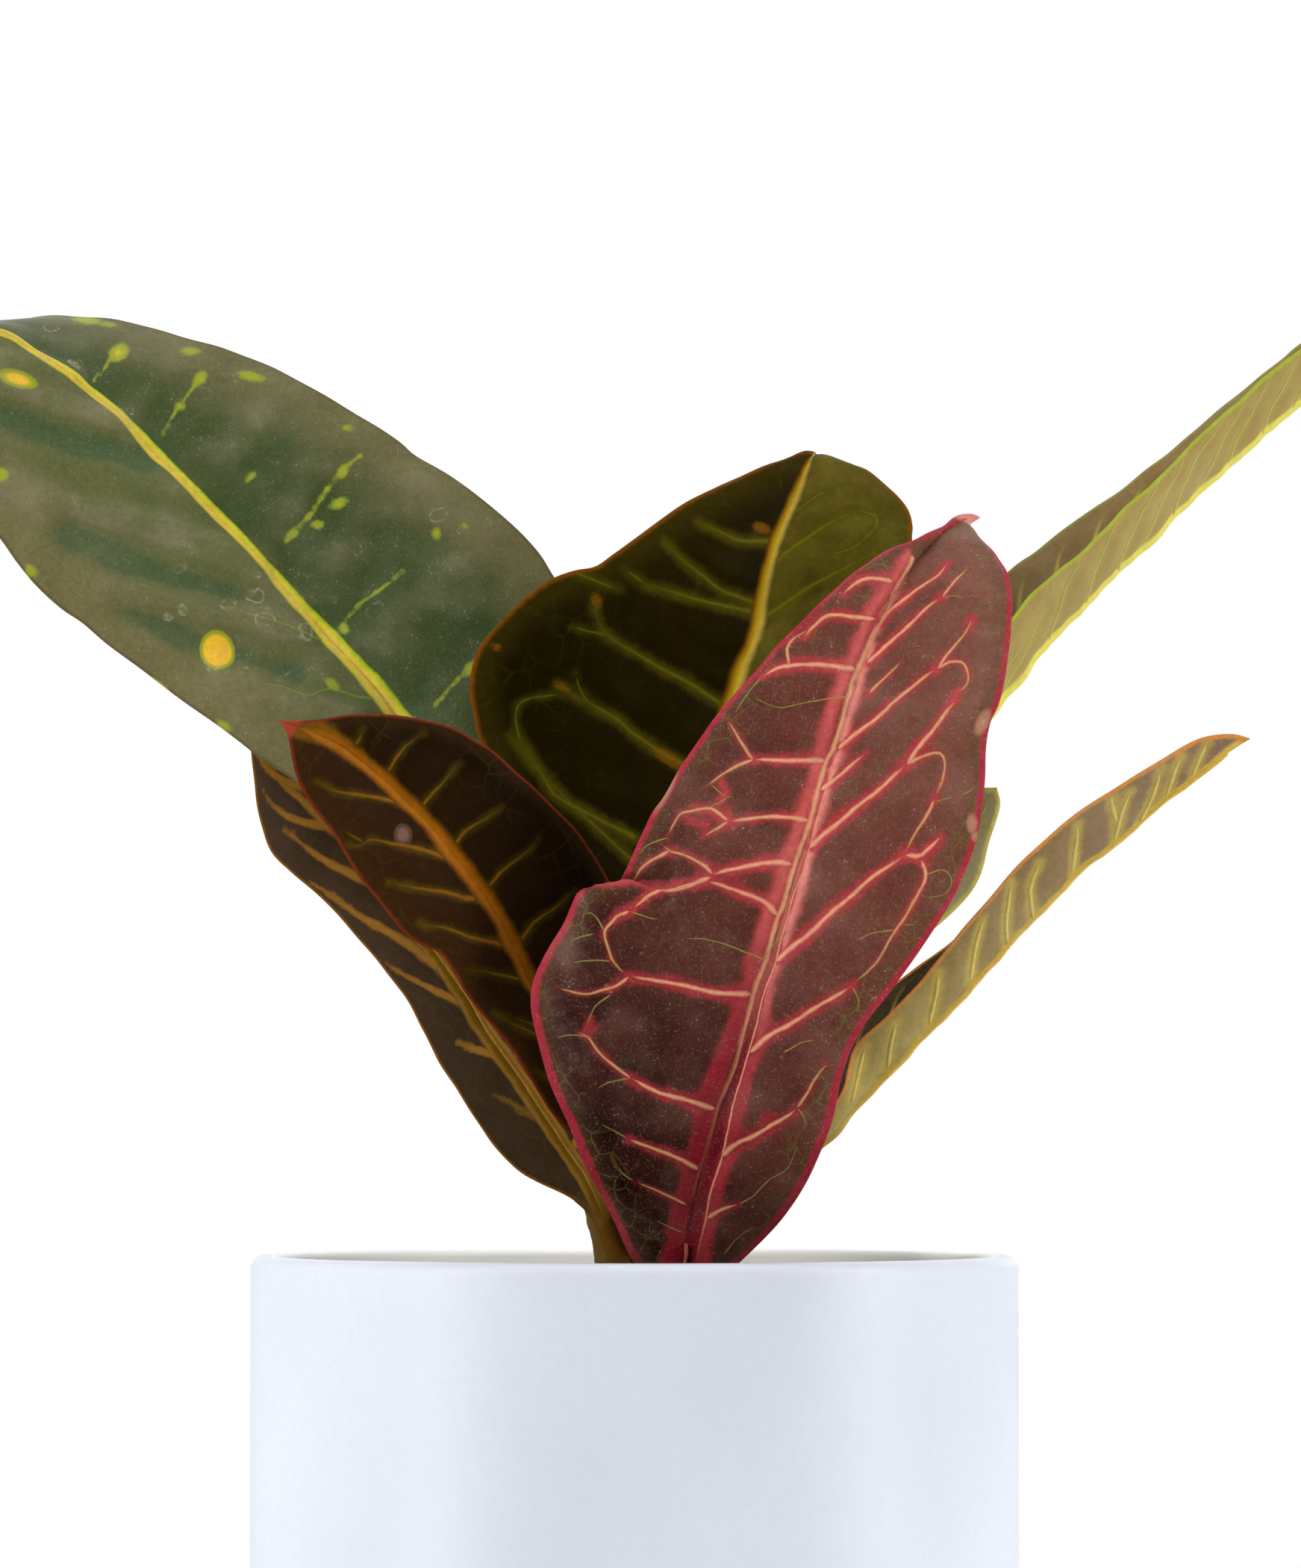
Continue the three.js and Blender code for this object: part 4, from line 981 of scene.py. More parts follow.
def leaf(name, rows, columns, vein_height, quilt, rib_height=0.3, half_seen=0):
    """Stalk, blade and raised veins of one leaf; half_seen is the half whose underside shows."""
    blade = Blade(name, rows, columns)
    shape = blade.points.shape[:2]
    lines = vein_lines(blade, half_seen)
    rails = [curve.at(np.linspace(0, 1, EDGE_POINTS)) for curve in (blade.left, blade.right)]
    rim = np.minimum(np.minimum(*(nearest(blade.flat, r)[0] for r in rails)), EDGE_FAR)
    (halo, tone, gap), (halo_low, tone_low, gap_low) = (vein_fields(blade, lines[k]) for k in (1, -1))
    spot = spot_field(blade)
    if half_seen:
        gap, quilt = gap_low, -quilt
    relief = relief_field(blade, gap, rim, quilt)
    surface = blade.points + relief.reshape(*shape, 1) * blade.normals
    normals = blade.find_normals(surface)
    top, bottom, keel = blade_skins(blade, surface, normals)
    right = surface[:, -1] + unit(surface[:, -1] - surface[:, -2]) * RIM
    left = surface[:, 0] + unit(surface[:, 0] - surface[:, 1]) * RIM
    rings = np.concatenate([top, right[:, None], bottom[:, ::-1], left[:, None]], 1)
    rings = np.concatenate([stalk_rings(blade), rings])
    size = rings.shape[1]
    body, faces = tube(rings, rings[0].mean(0), rings[-1].mean(0))
    is_low = np.zeros((len(rings) - 1, size), int)
    is_low[:, columns:size - 1] = 1
    points = [body]
    material_of = [np.concatenate([is_low.reshape(-1), np.zeros(2 * size, int)])]

    # Fields: on the upper side, on the lower side, and on the stalk
    nothing = np.zeros(len(blade.flat))
    none = nothing + NO_SPOT
    spots = (none, spot) if half_seen else (spot, none)
    share, along = np.tile(blade.s, shape[0]), np.repeat(blade.t, columns)
    fields = {
        "halo": (halo, halo_low, NO_HALO), "tone": (tone, tone_low, 0), "spot": (*spots, NO_SPOT),
        "rim": (rim, rim, 20), "relief": (relief, relief, 0), "keel": (keel, keel, 9),
        "share": (share, share, 0), "along": (along, along, np.linspace(-0.1, 0, STALK_RINGS)[:, None]),
        **{key: (nothing, nothing, 0) for key in ("core", "tint", "rib", "across")},
    }
    values = {}
    for key, (on_top, below, on_stalk) in fields.items():
        a, b = on_top.reshape(shape), below.reshape(shape)
        around = np.concatenate([a, a[:, -1:], b[:, ::-1], a[:, :1]], 1)
        whole = np.vstack([np.zeros((STALK_RINGS, size)) + on_stalk, around]).reshape(-1)
        values[key] = [np.concatenate([whole, whole[[0, -1]]])]

    ridges = [(1, midrib_strip(blade, rib_height, top, normals))] if rib_height else []
    for side, skin, tall in ((1, top, vein_height), (-1, bottom, vein_height * UNDER_VEINS)):
        ridges += [(side, side_vein(blade, line, kind, tall, side, skin, normals))
                   for kind, line in lines[side] if KINDS[kind][0][0]]
    total = len(body)
    for side, made in ridges:
        if made is None:
            continue
        (ridge, ridge_faces, where), extra = made
        points.append(ridge)
        faces += [[v + total for v in face] for face in ridge_faces]
        material_of.append(np.full(len(ridge_faces), 0 if side > 0 else 1))
        total += len(ridge)
        for key, pair in fields.items():
            grid = pair[0 if side > 0 else 1].reshape(shape)
            values[key].append(extra[key] if key in extra else blade.read(grid, where))
    materials = [leaf_material(f"{name}_{side}", **look)
                 for side, look in zip(("upper", "lower"), LOOKS[name])]
    obj = make_mesh(name + "_fine", np.vstack(points), faces, materials, np.concatenate(material_of))
    for key, value in values.items():
        set_values(obj.data, key, np.concatenate(value))
    obj.data.set_sharp_from_angle(angle=math.radians(LEAF_SHARP))
    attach(obj, "root")
    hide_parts(name)


# Materials
def linear(rgb):
    return tuple((c / 255 / 12.92) if c / 255 <= 0.04045 else ((c / 255 + 0.055) / 1.055) ** 2.4
                 for c in rgb) + (1.0,)


class Nodes:
    """Builds the nodes of a material or of the world in few words."""

    def __init__(self, owner):
        owner.use_nodes = True
        self.tree = owner.node_tree
        self.tree.nodes.clear()

    def node(self, kind, inputs=(), **settings):
        node = self.tree.nodes.new(kind)
        for key, value in settings.items():
            setattr(node, key, value)
        for key, value in dict(inputs).items():
            self.put(node.inputs[key], value)
        return node

    def put(self, socket, value):
        if isinstance(value, bpy.types.NodeSocket):
            self.tree.links.new(value, socket)
        else:
            socket.default_value = value

    def math(self, op, a, b=0.0, clamp=False):
        return self.node("ShaderNodeMath", {0: a, 1: b}, operation=op, use_clamp=clamp).outputs[0]

    def centred(self, value):
        return self.math("SUBTRACT", value, 0.5)

    def add(self, a, b):
        return self.math("ADD", a, b)

    def times(self, a, b):
        return self.math("MULTIPLY", a, b)

    def line(self, low, high, value, to_low=0.0, to_high=1.0, curve="LINEAR"):
        return self.node("ShaderNodeMapRange", {
            "Value": value, "From Min": low, "From Max": high, "To Min": to_low, "To Max": to_high},
            interpolation_type=curve).outputs["Result"]

    def step(self, *values):
        return self.line(*values, curve="SMOOTHSTEP")


class Graph(Nodes):
    """The nodes of a material with one principled surface."""

    def __init__(self, name):
        self.material = bpy.data.materials.new(name)
        super().__init__(self.material)
        self.bsdf = self.node("ShaderNodeBsdfPrincipled")
        self.out = self.node("ShaderNodeOutputMaterial", {0: self.bsdf.outputs[0]})
        self.place = self.node("ShaderNodeTexCoord").outputs["Object"]

    def attr(self, name):
        return self.node("ShaderNodeAttribute", attribute_name=name).outputs["Fac"]

    def noise(self, scale, detail=2.0, rough=0.5, place=None):
        return self.node("ShaderNodeTexNoise", {
            "Vector": place or self.place, "Scale": scale, "Detail": detail,
            "Roughness": rough}).outputs["Fac"]

    def voronoi(self, scale, place=None, feature="F1"):
        return self.node("ShaderNodeTexVoronoi", {"Vector": place or self.place, "Scale": scale},
                         feature=feature).outputs["Distance"]

    def mix(self, factor, a, b):
        node = self.node("ShaderNodeMix", data_type="RGBA")
        self.put(node.inputs[0], factor)
        for k, colour in ((6, a), (7, b)):
            self.put(node.inputs[k], linear(colour) if isinstance(colour, tuple) else colour)
        return node.outputs[2]

    def shades(self, factor, colours):
        node = self.node("ShaderNodeValToRGB", {"Fac": factor})
        band = node.color_ramp
        while len(band.elements) < len(colours):
            band.elements.new(0.5)
        for k, (element, colour) in enumerate(zip(band.elements, colours)):
            element.position = k / (len(colours) - 1)
            element.color = linear(colour)
        return node.outputs[0]

    def warped(self, amount, scale):
        """The place, shifted about by a noise."""
        swirl = self.node("ShaderNodeTexNoise", {"Vector": self.place, "Scale": scale, "Detail": 2.0})
        shift = self.node("ShaderNodeVectorMath", {0: swirl.outputs["Color"], 1: (0.5, 0.5, 0.5)},
                          operation="SUBTRACT").outputs[0]
        scaled = self.node("ShaderNodeVectorMath", {0: shift, "Scale": amount},
                           operation="SCALE").outputs[0]
        return self.node("ShaderNodeVectorMath", {0: self.place, 1: scaled},
                         operation="ADD").outputs[0]

    def bump(self, height, strength, distance=0.0003):
        node = self.node("ShaderNodeBump", {"Height": height, "Strength": strength,
                                            "Distance": distance})
        self.put(self.bsdf.inputs["Normal"], node.outputs[0])

    def finish(self, colour, rough, gloss=None):
        self.put(self.bsdf.inputs["Base Color"], colour)
        self.put(self.bsdf.inputs["Roughness"], rough)
        if gloss is not None:
            self.bsdf.inputs["Specular IOR Level"].default_value = gloss
        return self.material


# Values at the mesh's points that the leaf material reads
FIELDS = ("halo", "tone", "core", "tint", "rim", "spot", "relief", "keel", "rib", "across", "share",
          "along")
# A leaf's look where its own table says nothing. The ground runs over its colours from start, by
# lean (across), halves (a step at the midrib), rise (along the leaf), broad and blotch (noise).
# The halo and the veins run over theirs from green to pink. The other entries:
# wash: width, colour, amount; valley, ridge, grain: colour, amount (valley is painted shade in the
# relief's hollows, ridge is dust and painted highlight on its crests); net: colour, amount, scale, reach;
# rim, keel: colour, width, softness;
# dust: colour, amount of its veil (raised on the crests as a painted sheen), specks; stalk, tip: colour,
# share of length
PLAIN = dict(
    lean=0.0, halves=0.0, rise=0.0, start=0.5, broad=0.5, blotch=0.35, wash=(3.0, (90, 80, 50), 0.0),
    painted_valley_shade=((0, 0, 0), 0.0), ridge=((0, 0, 0), 0.0), net=((90, 90, 40), 0.3, 220, 20),
    halo_low=None, halo_soft=0.3, halo_fade=0.0, halo_edge=None, halo_amount=1.0,
    spot=((120, 70, 40), (190, 140, 80)), rough_spot=0.5,
    grow=0.0, veins_soft=(0.05, 0.6), veins_amount=1.0, rib=None, keel=None, rib_soft=0.25,
    grain=((20, 12, 8), 0.3), dust=((170, 158, 140), 0.1, 0.3), rings=0.0, rough=0.5, gloss=0.16,
    bump=0.3, tip=None,
)


def leaf_material(name, **look):
    look = {**PLAIN, **look}
    g = Graph(name)
    halo, tone, core, tint, rim, spot, relief, keel, rib, across, share, along = map(g.attr, FIELDS)
    fine, blotch, broad = g.noise(900, 3, 0.6), g.noise(130, 3, 0.55), g.noise(38, 2, 0.5)
    jitter, cloud = g.centred(fine), g.centred(blotch)

    # Ground between the veins
    lean = g.add(g.times(share, look["lean"]), g.times(along, look["rise"]))
    lean = g.add(lean, g.times(g.centred(broad), look["broad"]))
    lean = g.add(lean, g.step(-0.03, 0.03, share, 0.0, look["halves"]))
    lean = g.add(g.add(lean, g.times(cloud, look["blotch"])), look["start"])
    colour = g.shades(lean, look["ground"])
    wide, shade, amount = look["wash"]
    wash = g.step(wide, wide * 0.15, g.add(rim, g.times(cloud, wide * 0.7)))
    colour = g.mix(g.times(wash, amount), colour, shade)
    # Painted shade in the relief's hollows; on its crests, dust with a painted highlight
    shade, amount = look["painted_valley_shade"]
    colour = g.mix(g.times(g.step(0.05, -0.5, relief), amount), colour, shade)
    shade, amount = look["ridge"]
    ridge = g.step(0.15, 0.75, g.add(relief, g.times(jitter, 0.3)))
    colour = g.mix(g.times(ridge, amount), colour, shade)

    # Fine net of the smallest veins
    shade, amount, scale, reach = look["net"]
    web = g.voronoi(scale, g.warped(0.0014, 300), "DISTANCE_TO_EDGE")
    lines = g.times(g.step(0.055, 0.01, web), g.add(g.times(g.step(reach, reach * 0.3, rim), 0.85), 0.15))
    lines = g.times(lines, g.step(0.35, 0.65, g.noise(110, 1, 0.5)))
    colour = g.mix(g.times(lines, amount), colour, shade)

    # Halo along the veins
    ragged = g.times(g.centred(g.noise(330, 3, 0.65)), 2.0)
    edge = g.add(g.add(halo, ragged), g.add(g.times(jitter, 0.9), g.times(cloud, 0.9)))
    glow = g.shades(tone, look["halo"])
    if look["halo_low"]:
        glow = g.mix(g.step(0.5, 0.26, along), glow, g.shades(tone, look["halo_low"]))
    glow = g.mix(g.line(0.35, 0.7, blotch, 0.0, 0.35), glow, g.mix(0.5, glow, (60, 20, 16)))
    glow = g.mix(g.step(1.3, -0.2, halo, 0.0, look["halo_fade"]), glow, look["halo_edge"] or colour)
    soft = look["halo_soft"]
    colour = g.mix(g.times(g.step(-soft, soft * 0.8, edge), look["halo_amount"]), colour, glow)
    if look["keel"]:
        shade, width, soft = look["keel"]
        edge = g.add(keel, g.times(cloud, width * 0.5))
        colour = g.mix(g.step(width + soft, width - soft, edge), colour, shade)

    # Coloured margin, spots and tip
    shade, wide, soft = look["rim"]
    edge = g.add(rim, g.add(g.times(jitter, wide * 0.9), g.times(cloud, wide * 0.6)))
    edge = g.math("SUBTRACT", edge, g.step(0.5, 0.12, along, 0.0, look["grow"]))
    margin = g.times(g.step(wide + soft, wide - soft * 0.5, edge), g.step(0.02, 0.09, along))
    colour = g.mix(margin, colour, shade)
    edge = g.add(spot, g.times(jitter, look["rough_spot"]))
    colour = g.mix(g.step(-0.45, 0.2, edge), colour, g.mix(g.step(0.35, 1.3, edge), *look["spot"]))
    if look["tip"]:
        shade, start = look["tip"]
        colour = g.mix(g.step(start - 0.012, start, g.add(along, g.times(jitter, 0.01))), colour, shade)

    # Veins, then the midrib from its left edge to its right edge
    colour = g.mix(g.times(g.step(*look["veins_soft"], core), look["veins_amount"]), colour,
                   g.shades(tint, look["veins"]))
    if look["rib"]:
        place = g.add(g.line(-1, 1, across), g.times(jitter, 0.12))
        colour = g.mix(g.step(0.0, look["rib_soft"], rib), colour, g.shades(place, look["rib"]))
    shade, until = look["stalk"]
    colour = g.mix(g.step(until, until - 0.05, g.add(along, g.times(jitter, 0.03))), colour, shade)

    # Mottling, dust with a painted sheen on the relief's crests, specks and droplet marks
    shade, amount = look["grain"]
    colour = g.mix(g.line(0.35, 0.7, fine, 0.0, amount), colour, g.mix(0.5, colour, shade))
    shade, film_amount, speck_amount = look["dust"]
    dust_and_sheen = g.times(g.step(0.42, 0.72, g.noise(75, 4, 0.65)), film_amount)
    # The dust veil is raised on the relief's crests, which paints a sheen there
    dust_and_sheen = g.times(dust_and_sheen, g.line(0, 1, ridge, 0.8, 2.2))
    speck = g.voronoi(1500, g.warped(0.0006, 900))
    specks = g.times(g.times(g.step(0.3, 0.12, speck), g.step(0.56, 0.68, g.noise(300, 3, 0.65))),
                     speck_amount)
    grain = g.times(g.step(0.52, 0.8, g.noise(2400, 2, 0.6)), g.times(speck_amount, 0.45))
    if look["rings"]:
        cell = g.voronoi(170, g.warped(0.0028, 300))
        ring = g.step(0.06, 0.0, g.math("ABSOLUTE", g.math("SUBTRACT", cell, 0.26)))
        gate = g.times(g.step(0.52, 0.62, g.noise(36, 2, 0.5)), g.step(0.35, 0.62, fine))
        dust_and_sheen = g.add(dust_and_sheen, g.times(g.times(ring, gate), look["rings"]))
    colour = g.mix(g.math("ADD", g.add(dust_and_sheen, specks), grain, True), colour, shade)
    g.bump(g.add(g.times(g.noise(1400, 3, 0.6), 0.35), g.times(blotch, 0.9)), look["bump"])
    rough = g.line(0, 1, g.add(dust_and_sheen, specks), look["rough"], min(1.0, look["rough"] + 0.4))
    return g.finish(colour, g.add(rough, g.times(cloud, 0.16)), look["gloss"])


# Looks of the upper and of the lower side
LOOKS = {
    "leaf_front_red": (dict(
        # The ground's rise from dark at the base to light at the tip, and its lean to a lighter right
        # half, are painted light and shade
        ground=((36, 8, 4), (102, 54, 44), (126, 80, 65)), lean=0.24, rise=0.78, start=0.09, broad=0.35,
        blotch=0.5, wash=(5.0, (96, 66, 40), 0.5), net=((104, 104, 44), 0.5, 260, 9),
        halo=((190, 112, 90), (206, 92, 88), (188, 66, 72), (242, 148, 134)),
        halo_low=((108, 16, 28), (150, 32, 44), (150, 36, 46), (168, 52, 60)), halo_soft=0.8,
        halo_fade=0.6, halo_edge=(160, 46, 52), spot=((176, 122, 96), (250, 226, 190)),
        rim=((166, 42, 58), 0.75, 0.6), grow=0.7, stalk=((120, 18, 32), 0.0),
        tip=((206, 128, 116), 0.962),
        veins=((116, 122, 50), (176, 146, 80), (228, 162, 120), (232, 146, 124)), veins_soft=(0.0, 0.95),
        grain=((16, 6, 4), 0.45), dust=((216, 180, 166), 0.06, 0.32), gloss=0.06
    ), dict(
        ground=((122, 62, 54), (150, 88, 72)), net=((120, 50, 44), 0.4, 240, 30),
        halo=((150, 62, 56), (160, 74, 64), (168, 80, 70), (176, 90, 80)), halo_soft=0.5,
        rim=((160, 56, 60), 0.8, 0.4), stalk=((120, 26, 38), 0.0), keel=((170, 84, 74), 1.6, 0.6),
        veins=((170, 110, 80), (190, 120, 92), (206, 128, 104), (210, 110, 104)), rough=0.58
    )),
    "leaf_left_green": (dict(
        ground=((38, 60, 18), (74, 86, 42), (106, 106, 60)), lean=-0.1, halves=-0.42, rise=0.1,
        start=0.62, broad=0.28, blotch=0.22, wash=(17.0, (120, 110, 72), 0.65),
        # valley: painted shade in the relief's hollows; ridge: dust and painted highlight on its crests
        painted_valley_shade=((44, 82, 50), 0.55), ridge=((132, 122, 92), 0.2), net=((70, 92, 30), 0.25, 220, 20),
        halo=((70, 100, 24), (84, 110, 26), (96, 120, 30), (110, 130, 32)), halo_soft=0.5,
        halo_amount=0.5, spot=((148, 158, 32), (236, 186, 44)), rough_spot=0.9,
        rim=((96, 84, 46), 0.3, 0.3), stalk=((150, 140, 50), 0.0),
        veins=((116, 136, 50), (134, 146, 56), (170, 160, 50), (200, 176, 50)), veins_soft=(0.0, 0.9),
        veins_amount=0.6, rib_soft=0.3,
        rib=((124, 134, 44), (200, 180, 56), (214, 190, 62), (204, 164, 66), (212, 188, 58),
             (208, 194, 44), (168, 184, 20), (92, 132, 10)),
        grain=((30, 26, 14), 0.4), dust=((168, 156, 132), 0.1, 0.45), rings=0.6, bump=0.4
    ), dict(
        ground=((104, 112, 62), (134, 132, 84)), net=((96, 112, 50), 0.35, 240, 30),
        halo=((120, 130, 60), (130, 136, 62), (140, 142, 66), (150, 150, 70)), halo_soft=0.6,
        rim=((130, 110, 60), 0.4, 0.3), stalk=((160, 150, 60), 0.0), keel=((184, 176, 80), 1.8, 0.6),
        veins=((150, 150, 74), (170, 164, 80), (190, 180, 90), (190, 180, 90)), rough=0.6
    )),
    "leaf_back_olive": (dict(
        # halves: the left half, darker than the right, is painted shade
        ground=((28, 20, 0), (42, 34, 3), (124, 112, 38)), halves=0.6, rise=0.35, start=-0.14, broad=0.3,
        # valley: painted shade in the relief's hollows; ridge: dust and painted highlight on its crests
        blotch=0.3, wash=(7.0, (64, 54, 10), 0.5), painted_valley_shade=((30, 26, 4), 0.5), ridge=((84, 78, 30), 0.15),
        net=((66, 70, 18), 0.15, 200, 20), halo=((66, 66, 8), (76, 74, 10), (98, 84, 10), (128, 88, 12)),
        halo_soft=1.3, halo_amount=0.85, spot=((112, 72, 8), (176, 84, 12)), rough_spot=0.9,
        rim=((124, 70, 12), 0.3, 0.8), stalk=((120, 90, 16), 0.0),
        veins=((94, 104, 18), (108, 106, 18), (120, 106, 18), (138, 100, 20)), veins_soft=(0.0, 1.3),
        rib_soft=0.8,
        rib=((120, 72, 4), (150, 98, 8), (172, 136, 18), (196, 168, 40), (204, 172, 84), (130, 108, 46)),
        grain=((10, 8, 0), 0.4), veins_amount=0.7, dust=((120, 112, 60), 0.008, 0.08), gloss=0.012
    ), dict(
        ground=((92, 90, 44), (122, 116, 62)), net=((110, 112, 50), 0.35, 220, 30),
        halo=((116, 112, 52), (124, 118, 54), (130, 124, 56), (140, 132, 60)), halo_soft=0.6,
        rim=((140, 90, 44), 0.4, 0.3), stalk=((140, 112, 40), 0.0), keel=((160, 140, 60), 1.8, 0.6),
        veins=((150, 140, 66), (160, 146, 70), (180, 150, 76), (180, 150, 76)), rough=0.58
    )),
    "leaf_left_dark": (dict(
        ground=((52, 30, 12), (38, 22, 6), (25, 13, 3)), lean=0.6, rise=-0.2, start=0.55, broad=0.3,
        blotch=0.25, wash=(4.0, (64, 42, 16), 0.35), net=((70, 60, 12), 0.25, 220, 10),
        halo=((40, 34, 4), (60, 48, 6), (92, 72, 10), (140, 90, 18)), halo_soft=0.9, halo_amount=0.85,
        spot=((92, 64, 48), (124, 92, 76)), rim=((116, 46, 24), 0.25, 0.4), stalk=((150, 90, 16), 0.0),
        tip=((160, 62, 46), 0.975), veins=((84, 76, 8), (104, 86, 12), (140, 88, 22), (160, 98, 36)),
        veins_soft=(0.0, 1.0), rib_soft=0.75,
        rib=((150, 88, 18), (164, 96, 22), (166, 98, 22), (158, 94, 14), (150, 88, 6), (116, 72, 6)),
        grain=((10, 6, 2), 0.4), veins_amount=0.85, dust=((130, 96, 74), 0.008, 0.06), gloss=0.012
    ), dict(
        ground=((88, 56, 40), (110, 74, 50)), net=((110, 80, 40), 0.3, 220, 30),
        halo=((120, 80, 44), (126, 84, 46), (132, 88, 48), (140, 92, 50)), halo_soft=0.6,
        rim=((140, 66, 44), 0.4, 0.3), stalk=((160, 104, 40), 0.0), keel=((176, 116, 56), 1.8, 0.6),
        veins=((150, 110, 60), (160, 110, 60), (190, 124, 62), (190, 124, 62)), rough=0.55
    )),
    "leaf_low_left": (dict(
        ground=((46, 33, 15), (56, 42, 28), (74, 57, 45)), lean=-0.1, rise=0.45, start=0.2, broad=0.3,
        blotch=0.25, net=((74, 64, 34), 0.2, 220, 20),
        halo=((90, 66, 20), (104, 76, 22), (120, 84, 26), (132, 92, 34)), halo_soft=0.4,
        rim=((118, 74, 14), 0.25, 0.3), stalk=((92, 64, 16), 0.06),
        veins=((96, 74, 20), (114, 80, 22), (136, 94, 34), (146, 102, 44)), veins_soft=(0.0, 0.8),
        rib_soft=0.3,
        rib=((120, 84, 34), (124, 88, 30), (96, 68, 6), (92, 66, 4), (144, 108, 54), (104, 72, 8),
             (132, 92, 36), (136, 94, 38)),
        grain=((20, 14, 8), 0.3), dust=((120, 94, 70), 0.02, 0.07), gloss=0.012
    ), dict(
        ground=((98, 82, 58), (126, 106, 76)), net=((120, 104, 60), 0.3, 220, 30),
        halo=((140, 110, 66), (146, 114, 66), (152, 118, 68), (160, 124, 70)), halo_soft=0.5,
        rim=((150, 104, 50), 0.3, 0.3), stalk=((110, 82, 30), 0.0), keel=((160, 124, 64), 1.6, 0.6),
        veins=((160, 124, 70), (170, 126, 70), (186, 134, 74), (186, 134, 74)), rough=0.58
    )),
    "leaf_right_high": (dict(
        ground=((110, 88, 44), (134, 106, 60), (156, 128, 90)), wash=(5, (150, 124, 78), 0.4),
        halo=((110, 104, 40), (120, 112, 46), (136, 126, 52), (150, 138, 60)), halo_soft=0.5,
        rim=((140, 130, 50), 0.4, 0.3), stalk=((160, 150, 50), 0.0),
        veins=((130, 130, 54), (150, 144, 60), (180, 160, 66), (206, 180, 84)),
        rib=((170, 168, 60), (214, 200, 80), (226, 210, 90), (214, 200, 80), (170, 168, 60)),
        dust=((160, 146, 126), 0.2, 0.3)
    ), dict(
        ground=((138, 114, 58), (162, 140, 76), (184, 162, 92)), broad=0.4, blotch=0.4, start=0.45,
        net=((130, 134, 60), 0.3, 260, 30),
        halo=((170, 162, 76), (176, 166, 78), (180, 168, 78), (184, 170, 76)), halo_soft=1.0,
        halo_amount=0.55, rim=((160, 172, 44), 0.6, 0.4), stalk=((190, 180, 60), 0.0),
        veins=((180, 178, 96), (188, 184, 98), (196, 190, 96), (206, 196, 80)), veins_soft=(0.0, 1.0),
        veins_amount=0.9, halo_fade=0.4, keel=((222, 212, 92), 1.5, 0.8), grain=((100, 80, 30), 0.3),
        dust=((196, 180, 140), 0.12, 0.25), rough=0.6
    )),
    "leaf_right_low": (dict(
        ground=((36, 26, 4), (60, 46, 14)), net=((90, 80, 30), 0.3, 220, 20),
        halo=((70, 60, 14), (90, 72, 18), (110, 86, 24), (140, 110, 36)), halo_soft=0.5,
        rim=((190, 116, 40), 0.5, 0.3), stalk=((160, 150, 50), 0.0),
        veins=((120, 110, 30), (150, 130, 40), (180, 150, 60), (200, 170, 70)),
        rib=((150, 130, 40), (190, 160, 60), (200, 170, 70), (190, 160, 60), (150, 130, 40))
    ), dict(
        ground=((192, 176, 88), (140, 114, 68), (130, 100, 80)), rise=1.0, start=-0.05, broad=0.3,
        blotch=0.3, net=((130, 124, 60), 0.25, 260, 30),
        halo=((150, 136, 50), (160, 146, 54), (176, 156, 62), (200, 174, 76)), halo_soft=0.8,
        halo_amount=0.75, rim=((210, 136, 60), 0.5, 0.4), stalk=((190, 180, 70), 0.0),
        veins=((186, 176, 90), (200, 182, 96), (216, 190, 106), (220, 196, 100)), veins_soft=(0.0, 1.2),
        keel=((214, 176, 66), 0.9, 0.4), grain=((70, 50, 20), 0.4), dust=((186, 172, 136), 0.16, 0.45)
    )),
    "leaf_back_right": (dict(
        ground=((128, 118, 76), (158, 142, 98)), net=((120, 124, 60), 0.4, 240, 20),
        halo=((120, 124, 60), (130, 130, 66), (140, 136, 70), (150, 140, 76)), halo_soft=0.5,
        rim=((176, 166, 74), 0.6, 0.4), stalk=((140, 136, 60), 0.0),
        veins=((140, 142, 74), (146, 146, 78), (150, 150, 80), (160, 156, 84)),
        rib=((140, 142, 74), (170, 160, 80), (140, 142, 74)), dust=((150, 142, 120), 0.25, 0.35)
    ), dict(
        ground=((108, 104, 66), (132, 124, 86)), net=((120, 124, 60), 0.3, 240, 30),
        halo=((130, 130, 70), (136, 134, 74), (140, 138, 76), (150, 142, 80)), halo_soft=0.5,
        rim=((150, 146, 74), 0.5, 0.35), stalk=((150, 144, 66), 0.0), keel=((160, 152, 80), 1.2, 0.5),
        veins=((150, 150, 84), (156, 152, 84), (160, 156, 86), (170, 164, 92)), rough=0.58
    )),
}

leaf("leaf_front_red", 250, 111, vein_height=0.12, quilt=0.2, rib_height=0)
leaf("leaf_left_green", 240, 101, vein_height=0.1, quilt=0.2, rib_height=0.25)
leaf("leaf_back_olive", 190, 85, vein_height=0.08, quilt=0.2, rib_height=0.2)
leaf("leaf_left_dark", 180, 75, vein_height=0.1, quilt=0.25, rib_height=0.25)
leaf("leaf_low_left", 170, 61, vein_height=0.12, quilt=0.2, rib_height=0.5)
leaf("leaf_right_high", 210, 61, vein_height=0.12, quilt=0.45, half_seen=1)
leaf("leaf_right_low", 180, 61, vein_height=0.14, quilt=0.3, half_seen=1)
leaf("leaf_back_right", 130, 45, vein_height=0.15, quilt=0.15)


# Pot: thickness of wall and floor, radii of its corners and of its flat underside, in mm
POT_WALL = 5.0
POT_FLOOR = 6.0
POT_CORNER = 2.0
RIM_OUTSIDE = 1.9
RIM_INSIDE = 1.3
FOOT_RADIUS = 58
INNER_RADIUS = POT_RADIUS - POT_WALL
POT_SIDES = 256


